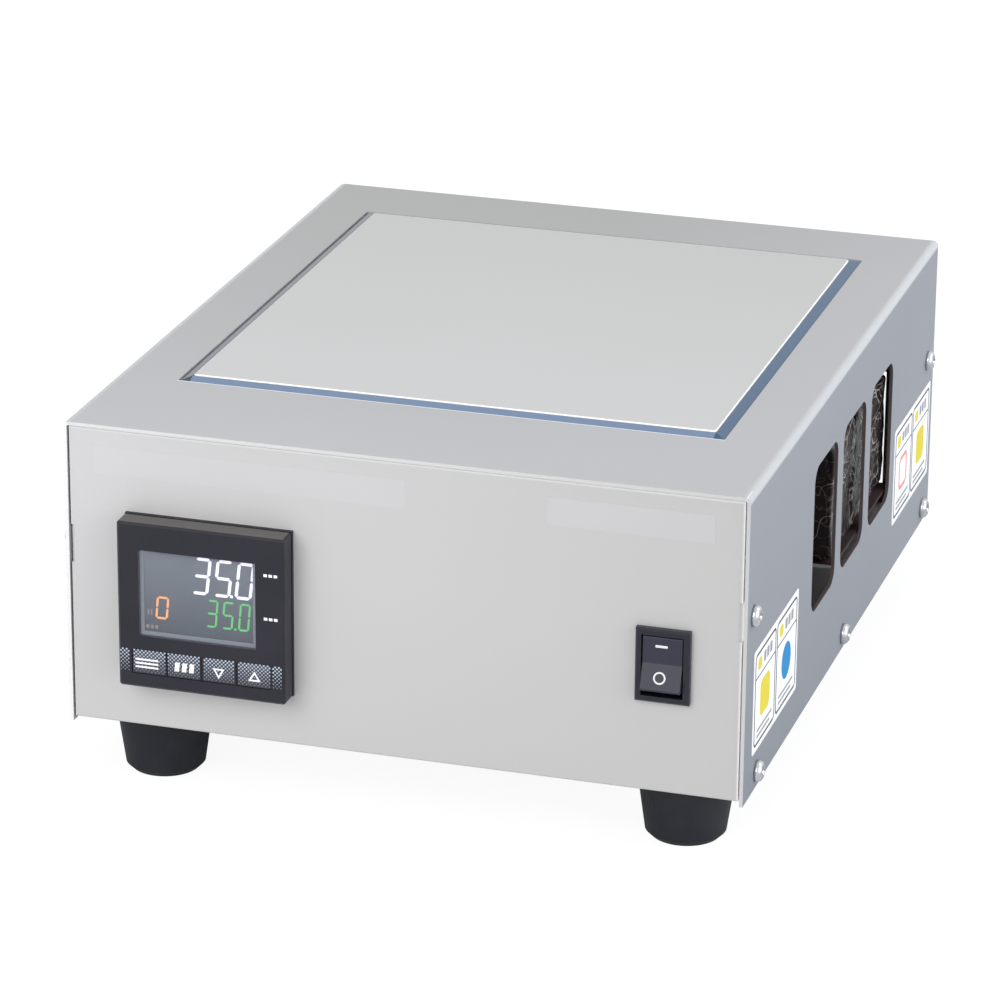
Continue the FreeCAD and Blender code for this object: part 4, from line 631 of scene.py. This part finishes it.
window = finish("clear window", (0.50, 0.55, 0.62), 0.06, Alpha=0.07, Specular_IOR_Level=0.6)
dress(window, "display_window")
display = finish("display glass", (0.125, 0.138, 0.165), 0.25)
drift(display, (0.14, 0.152, 0.18), 40)
# Painted shade: the display is darker towards the bottom.
zone(display, (0.035, 0.042, 0.058), ("Z", bezel_high.z - 12 * mm, bezel_high.z - 32 * mm))
dress(display, "display_panel")


def raised(name, shapes, start, across, up, thick, material, body="case", slot=None):
    """Thin flat pieces on a surface. A shape is a loop of places, or an outer and an
    inner loop with as many places each."""
    start, across, up = Vector(start), Vector(across), Vector(up)
    out = across.cross(up) * thick
    points, faces = [], []
    for shape in shapes:
        loops = shape if isinstance(shape, tuple) else (shape,)
        firsts = []
        for loop in loops:
            firsts.append(len(points))
            flat = [start + across * u * mm + up * v * mm for u, v in loop]
            points += flat + [point + out for point in flat]
        count = len(loops[0])
        for first in firsts:
            for i in range(count):
                k = (i + 1) % count
                faces.append([first + i, first + k, first + count + k, first + count + i])
        if len(loops) == 1:
            faces.append([firsts[0] + count + i for i in range(count)])
            faces.append([firsts[0] + count - 1 - i for i in range(count)])
        else:
            outer, inner = firsts
            for i in range(count):
                k = (i + 1) % count
                for lift in (0, count):
                    faces.append([outer + lift + i, outer + lift + k,
                                  inner + lift + k, inner + lift + i])
    solid(name, points, faces, material, body, slot, smooth=False)


def round_loop(left, low, right, high, radius, steps=5):
    """A rectangle's outline with round corners."""
    loop = []
    for x, y, first in ((right, low, -90), (right, high, 0), (left, high, 90), (left, low, 180)):
        cx = x - radius if x == right else x + radius
        cy = y - radius if y == high else y + radius
        for i in range(steps + 1):
            turn = math.radians(first + 90 * i / steps)
            loop.append((cx + radius * math.cos(turn), cy + radius * math.sin(turn)))
    return loop


def bar(left, drop, width, height, lean=0.0):
    """A bar placed by its distances from the bezel's left and top edges."""
    return [(left, -drop - height), (left + width, -drop - height),
            (left + width + lean, -drop), (left + lean, -drop)]


segments = {"0": "abcdef", "3": "abgcd", "5": "afgcd"}


def digit(figure, left, drop, width, height, stroke, lean):
    """The lit bars of one seven-bar figure, slanted."""
    gap = 0.12 * stroke
    half = stroke / 2
    top, centre, low = -drop - half, -drop - height / 2, -drop - height + half
    near, far = left + half, left + width - half
    lines = {
        "a": ((near, top), (far, top)), "g": ((near, centre), (far, centre)),
        "d": ((near, low), (far, low)), "f": ((near, centre), (near, top)),
        "e": ((near, low), (near, centre)), "b": ((far, centre), (far, top)),
        "c": ((far, low), (far, centre)),
    }
    shapes = []
    for bar_name in segments[figure]:
        (x0, y0), (x1, y1) = lines[bar_name]
        if y0 == y1:
            loop = [(x0 + gap, y0), (x0 + gap + half, y0 - half), (x1 - gap - half, y0 - half),
                    (x1 - gap, y0), (x1 - gap - half, y0 + half), (x0 + gap + half, y0 + half)]
        else:
            loop = [(x0, y0 + gap), (x0 + half, y0 + gap + half), (x0 + half, y1 - gap - half),
                    (x0, y1 - gap), (x0 - half, y1 - gap - half), (x0 - half, y0 + gap + half)]
        shapes.append([(x + lean * (y + drop + height) / height, y) for x, y in loop])
    return shapes


def lit(name, colour, level):
    """A display segment that gives its own light."""
    material = finish(name, colour, 0.4)
    shader = material.node_tree.nodes["Principled BSDF"]
    shader.inputs["Emission Color"].default_value = (*colour, 1)
    shader.inputs["Emission Strength"].default_value = level
    return material


right_way, up_way = Vector((1, 0, 0)), Vector((0, 0, 1))
glass_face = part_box("display_panel")[0].y
figures = (bezel_low.x, glass_face - 0.02 * mm, bezel_high.z)
white_light = lit("white segments", (0.80, 0.79, 0.90), 0.45)
green_light = lit("green segments", (0.078, 0.42, 0.10), 0.4)
amber_light = lit("amber segments", (0.80, 0.32, 0.10), 0.5)
faint_light = lit("faint segments", (0.24, 0.15, 0.13), 0.2)
large = []
for figure, left in (("3", 20.9), ("5", 27.2), ("0", 33.3)):
    large += digit(figure, left, drop=8.3, width=4.9, height=10.8, stroke=0.88, lean=1.25)
large.append(bar(32.1, 18.2, 0.8, 0.8))
raised("display_large_figures", large, figures, right_way, up_way, 0.05 * mm, white_light,
       slot="display_glass")
small = []
for figure, left in (("3", 24.9), ("5", 29.5), ("0", 34.2)):
    small += digit(figure, left, drop=20.2, width=3.2, height=8.1, stroke=0.58, lean=0.75)
small.append(bar(33.2, 27.7, 0.6, 0.6))
raised("display_small_figures", small, figures, right_way, up_way, 0.05 * mm, green_light,
       slot="display_glass")
amber = digit("0", 10.4, drop=21.0, width=3.6, height=6.6, stroke=0.6, lean=0.6)
raised("display_amber_figure", amber, figures, right_way, up_way, 0.05 * mm, amber_light,
       slot="display_glass")
faint = [bar(8.3 + 0.9 * i, 25.0, 0.4, 1.8) for i in range(2)]
faint += [bar(7.8 + 1.3 * i, 29.6, 0.8, 1.0) for i in range(3)]
raised("display_faint_marks", faint, figures, right_way, up_way, 0.05 * mm, faint_light,
       slot="display_glass")
border = finish("printed window border", (0.20, 0.215, 0.25), 0.35)
left, right, high, low, side_line, low_line = 6.2, 39.7, -7.9, -32.7, 1.1, 1.2
raised("display_border",
       [[(left, low), (right, low), (right, high), (right - 1.0, high),
         (right - 1.0, low + low_line), (left + side_line, low + low_line),
         (left + side_line, high), (left, high)]],
       (figures[0], glass_face - 0.12 * mm, figures[2]), right_way, up_way, 0.04 * mm, border,
       slot="display_glass")

print_white = finish("white print", (0.92, 0.93, 0.95), 0.5)
face_print = (bezel_low.x, bezel_low.y + 0.02 * mm, bezel_high.z)
side_marks = [bar(42.2 + 1.45 * i, drop + 0.5, 1.0, 0.8) for drop in (9.8, 22.4) for i in range(3)]
raised("bezel_side_marks", side_marks, face_print, right_way, up_way, 0.03 * mm, print_white,
       slot="controller_plastic")


# Keys: four key tops of dark film in the bezel. One strip of pale printed dots runs over
# them and the bezel beside them, paler at its top, and each key has a white mark.
def dots_tree():
    """A staggered field of small raised dots that grow towards the top."""
    tree = bpy.data.node_groups.new("dotted field", "GeometryNodeTree")
    for name, kind in (("Field", "Geometry"), ("Dot", "Float"), ("Lift", "Float"),
                       ("Top", "Float"), ("Low", "Float"), ("Finish", "Material")):
        tree.interface.new_socket(name, in_out="INPUT", socket_type="NodeSocket" + kind)
    tree.interface.new_socket("Dots", in_out="OUTPUT", socket_type="NodeSocketGeometry")
    given = tree.nodes.new("NodeGroupInput")
    where = tree.nodes.new("GeometryNodeInputPosition")
    split = joined(tree, "ShaderNodeSeparateXYZ", Vector=where.outputs[0])
    size = joined(tree, "ShaderNodeMapRange", Value=split.outputs["Z"],
                  From_Min=given.outputs["Low"], From_Max=given.outputs["Top"],
                  To_Min=0.7, To_Max=1.0)
    disc = joined(tree, "GeometryNodeMeshCylinder", Vertices=8, Radius=given.outputs["Dot"],
                  Depth=given.outputs["Lift"])
    spots = joined(tree, "GeometryNodeMeshToPoints", Mesh=given.outputs["Field"])
    copies = joined(tree, "GeometryNodeInstanceOnPoints", Points=spots.outputs[0],
                    Instance=disc.outputs["Mesh"], Rotation=Euler((math.pi / 2, 0, 0)),
                    Scale=size.outputs[0])
    real = joined(tree, "GeometryNodeRealizeInstances", Geometry=copies.outputs[0])
    coat = joined(tree, "GeometryNodeSetMaterial", Geometry=real.outputs[0],
                  Material=given.outputs["Finish"])
    result = tree.nodes.new("NodeGroupOutput")
    tree.links.new(coat.outputs[0], result.inputs["Dots"])
    return tree


dotted_field = dots_tree()
key_plastic = finish("dark key film", (0.030, 0.030, 0.040), 0.4)
grain(key_plastic, 1500, 0.00002)
dress(key_plastic, "key_mode", "key_function", "key_down", "key_up")
band_top, band_low = bezel_high.z - 36.8 * mm, bezel_high.z - 43.9 * mm
dot_print = finish("pale dot print", (0.10, 0.115, 0.15), 0.5)
zone(dot_print, (0.44, 0.51, 0.60), ("Z", band_low, band_top - 1.5 * mm))
pitch, margin = 1.1 * mm, Vector((0.22 * mm, 0, 0.25 * mm))
fields = [("key_mode", "mode_button"), ("key_function", "function_button"),
          ("key_down", "down_button"), ("key_up", "up_button")]
spans = []
for node, body in fields:
    low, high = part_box(node)
    spans.append((node + "_dots", body, low.x, high.x, low.y))
spans.append(("bezel_dots_left", "case", bezel_low.x + 0.5 * mm, bezel_low.x + 3.7 * mm, bezel_low.y))
spans.append(("bezel_dots_right", "case", bezel_low.x + 44.3 * mm, bezel_low.x + 47.5 * mm, bezel_low.y))
for name, body, left, right, face in spans:
    spots = []
    for row in range(int((band_top - band_low) / (pitch / 2))):
        z = band_top - margin.z - row * pitch / 2
        if z < band_low + margin.z:
            break
        first = math.ceil((left + margin.x - (row % 2) * pitch / 2) / pitch)
        x = first * pitch + (row % 2) * pitch / 2
        while x < right - margin.x:
            spots.append((x, face + 0.005 * mm, z))
            x += pitch
    mesh = bpy.data.meshes.new(name)
    mesh.from_pydata(spots, [], [])
    dots = bpy.data.objects.new(name, mesh)
    bpy.context.scene.collection.objects.link(dots)
    modifier = dots.modifiers.new("dots", "NODES")
    modifier.node_group = dotted_field
    sockets = {item.name: item.identifier for item in dotted_field.interface.items_tree
               if item.in_out == "INPUT"}
    for key, setting in (("Dot", 0.29 * mm), ("Lift", 0.03 * mm), ("Top", band_top),
                         ("Low", band_low), ("Finish", dot_print)):
        modifier[sockets[key]] = setting
    made_plain(dots)
    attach(dots, body)


def key_mark(name, body, node, shapes):
    raised(name, shapes, (bezel_low.x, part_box(node)[0].y, bezel_high.z), right_way, up_way, 0.05 * mm,
           print_white, body=body, slot="key_plastic")


def triangle(left, drop, width, height, flip):
    """A triangular ring that points up, or down if flipped."""
    middle = left + width / 2
    base, tip = (-drop, -drop - height) if flip else (-drop - height, -drop)
    centre = ((left + left + width + middle) / 3, (base + base + tip) / 3)
    outer = [(left, base), (left + width, base), (middle, tip)]
    inner = [(centre[0] + (x - centre[0]) * 0.55, centre[1] + (y - centre[1]) * 0.55)
             for x, y in outer]
    return outer, inner


key_mark("key_mode_mark", "mode_button", "key_mode",
         [bar(4.9, 39.4 + 1.1 * i, 6.6, 0.5) for i in range(3)])
key_mark("key_function_mark", "function_button", "key_function",
         [bar(16.2 + 2.1 * i, 39.3, 1.3, 2.6, 0.3) for i in range(3)])
key_mark("key_down_mark", "down_button", "key_down", [triangle(27.3, 39.6, 3.4, 3.0, flip=True)])
key_mark("key_up_mark", "up_button", "key_up", [triangle(37.5, 39.1, 3.6, 2.9, flip=False)])


# Rocker switch: a gloss black plastic rim snapped into the front panel, and a rocker
# marked with a bar and a ring. Its terminals are tinned brass.
switch_plastic = finish("gloss black switch", (0.009, 0.0105, 0.018), 0.25, Specular_IOR_Level=0.4)
grain(switch_plastic, 900, 0.00002)
drift(switch_plastic, (0.011, 0.012, 0.017), 150)
dress(switch_plastic, "switch_body")
rocker_plastic = finish("gloss rocker", (0.034, 0.037, 0.052), 0.28, Specular_IOR_Level=0.18)
grain(rocker_plastic, 900, 0.00002)
drift(rocker_plastic, (0.035, 0.037, 0.052), 150)
dress(rocker_plastic, "switch_rocker")
tinned = finish("tinned brass", (0.66, 0.60, 0.45), 0.3, 1.0)
drift(tinned, (0.56, 0.52, 0.42), 400)
dress(tinned, "switch_terminals", "inlet_pins")

switch_low, switch_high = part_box("switch_body")
pivot_depth, valley_reach, end_reach, half_length = 4.3 * mm, 4 * mm, 5.2 * mm, 7.6 * mm
pivot = Vector(((switch_low.x + switch_high.x) / 2, switch_low.y + pivot_depth,
                (switch_low.z + switch_high.z) / 2))
tilt = Matrix.Rotation(math.radians(-10), 3, "X")
valley = pivot + tilt @ Vector((0, -valley_reach, 0))
switch_print = finish("switch print", (0.70, 0.70, 0.70), 0.5)
for name, end, shapes in (
        ("switch_bar", 1, [round_loop(-2.0, 4.6, 1.4, 5.3, 0.2, 2)]),
        ("switch_ring", -1, [tuple([(radius * math.cos(t * math.pi / 12) - 0.4,
                                      radius * math.sin(t * math.pi / 12) - 3.8) for t in range(24)]
                                    for radius in (1.7, 1.25))])):
    rise = tilt @ Vector((0, valley_reach - end_reach, half_length * end)).normalized() * end
    raised(name, shapes, valley, right_way, rise, 0.05 * mm, switch_print, body="rocker",
           slot="switch_plastic")


# Feet: four tapered feet of moulded black rubber with a faint sheen, each held to the
# chassis by a screw and a nut.
foot_rubber = finish("foot rubber", (0.012, 0.013, 0.018), 0.55, Specular_IOR_Level=0.25)
grain(foot_rubber, 700, 0.00006)
drift(foot_rubber, (0.017, 0.018, 0.023), 90)
dress(foot_rubber, "foot_front_left", "foot_front_right", "foot_rear_left", "foot_rear_right")


# Power inlet and supply: a snap-in inlet of black plastic in the rear panel, and beside
# it an open supply, a green board that carries a transformer and capacitors.
inlet_plastic = finish("black inlet plastic", (0.014, 0.014, 0.015), 0.4)
grain(inlet_plastic, 1000, 0.00003)
dress(inlet_plastic, "power_inlet")
laminate = finish("green board", (0.020, 0.12, 0.045), 0.35)
drift(laminate, (0.030, 0.16, 0.06), 500, 0.47, 0.53)
dress(laminate, "supply_board")
tape = finish("yellow transformer tape", (0.55, 0.40, 0.07), 0.3)
grain(tape, 300, 0.00005, 2, (1, 1, 8))
dress(tape, "supply_transformer")
sleeve = finish("capacitor sleeve", (0.03, 0.035, 0.06), 0.3)
drift(sleeve, (0.05, 0.055, 0.09), 60)
dress(sleeve, "supply_capacitors")


# Labels: two glossy paper stickers on the right side, printed with plain frames, lines
# and colour fields.
paper = finish("label paper", (0.95, 0.95, 0.955), 0.4)
drift(paper, (0.925, 0.93, 0.945), 40)
ink = finish("label ink", (0.04, 0.04, 0.045), 0.5)
grey_ink = finish("label grey ink", (0.30, 0.31, 0.33), 0.5)
yellow = finish("label yellow", (0.72, 0.60, 0.02), 0.5, Specular_IOR_Level=0.3)
blue = finish("label blue", (0.003, 0.23, 0.52), 0.5, Specular_IOR_Level=0.2)
red = finish("label red", (0.78, 0.25, 0.22), 0.45)
back_way = Vector((0, 1, 0))


def frame_shape(left, low, right, high, line, radius):
    return (round_loop(left, low, right, high, radius),
            round_loop(left + line, low + line, right - line, high - line, max(radius - line, 0.1)))


for name, near, low, marks in (("label_front", 8.7, 11.0, (yellow, blue)),
                               ("label_rear", 180.5, 14.5, (red, yellow))):
    start = Vector((cover_high.x, front + near * mm, cover_low.z + low * mm))
    width, height, thick = 50.0, 30.0, 0.1 * mm
    raised(name, [round_loop(0, 0, width, height, 1.0)], start, back_way, up_way, thick, paper)
    face = start + Vector((thick, 0, 0))
    half, edge, apart, rule = width / 2, 1.5, 0.6, height - 8.9
    sign_low, sign_high, sign_reach = 8.3, 18.9, 5.3
    black, lines, heads = [], [], []
    for left, right, tone in ((edge, half - apart, marks[0]), (half + apart, width - edge, marks[1])):
        black += [frame_shape(left, edge, right, height - edge, line=0.7, radius=1.8),
                  round_loop(left + 0.2, rule, right - 0.2, rule + 0.4, 0.1, 1)]
        heads.append(round_loop(left + 3.0, height - 6.9, left + 7.2, height - 3.6, 1.2))
        lines += [round_loop(left + 9.4 + 3.4 * i, height - 6.7, left + 11.8 + 3.4 * i,
                             height - 3.7, 0.3, 1) for i in range(3)]
        lines += [round_loop(left + 3.2, 3.4 + 1.7 * i, right - 3.2 - 2.5 * (1 - i), 4.2 + 1.7 * i,
                             0.2, 1) for i in range(2)]
        near_end, far_end = (left + right) / 2 - sign_reach, (left + right) / 2 + sign_reach
        sign = round_loop(near_end, sign_low, far_end, sign_high, 5.29 if tone is blue else 2.6, 8)
        if tone is red:
            sign = frame_shape(near_end, sign_low, far_end, sign_high, line=1.2, radius=2.6)
        raised(f"{name}_mark_{len(heads)}", [sign], face, back_way, up_way, 0.04 * mm, tone)
    raised(name + "_frames", black, face, back_way, up_way, 0.04 * mm, ink)
    raised(name + "_lines", lines, face, back_way, up_way, 0.04 * mm, grey_ink)
    raised(name + "_heads", heads, face, back_way, up_way, 0.04 * mm, yellow)


# Film strips: two strips of thin milky self-adhesive film with round corners, stuck on
# the upper part of the front panel.
clear_film = finish("milky strip", (0.586, 0.581, 0.586), 0.36, Specular_IOR_Level=0.4)
drift(clear_film, (0.572, 0.568, 0.572), 30)
# Painted shade: darker towards the right, as on the panel beneath.
zone(clear_film, (0.485, 0.48, 0.48), ("X", -side, side))
panel_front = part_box("chassis")[0].y
for name, left, right, low, high in (("film_strip_left", -87.4, 1.5, 73.8, 82.0),
                                     ("film_strip_right", 40.7, 86.6, 74.0, 82.0)):
    raised(name, [round_loop(left, low, right, high, 0.6)],
           (0, panel_front, cover_low.z), right_way, up_way, 0.06 * mm, clear_film)
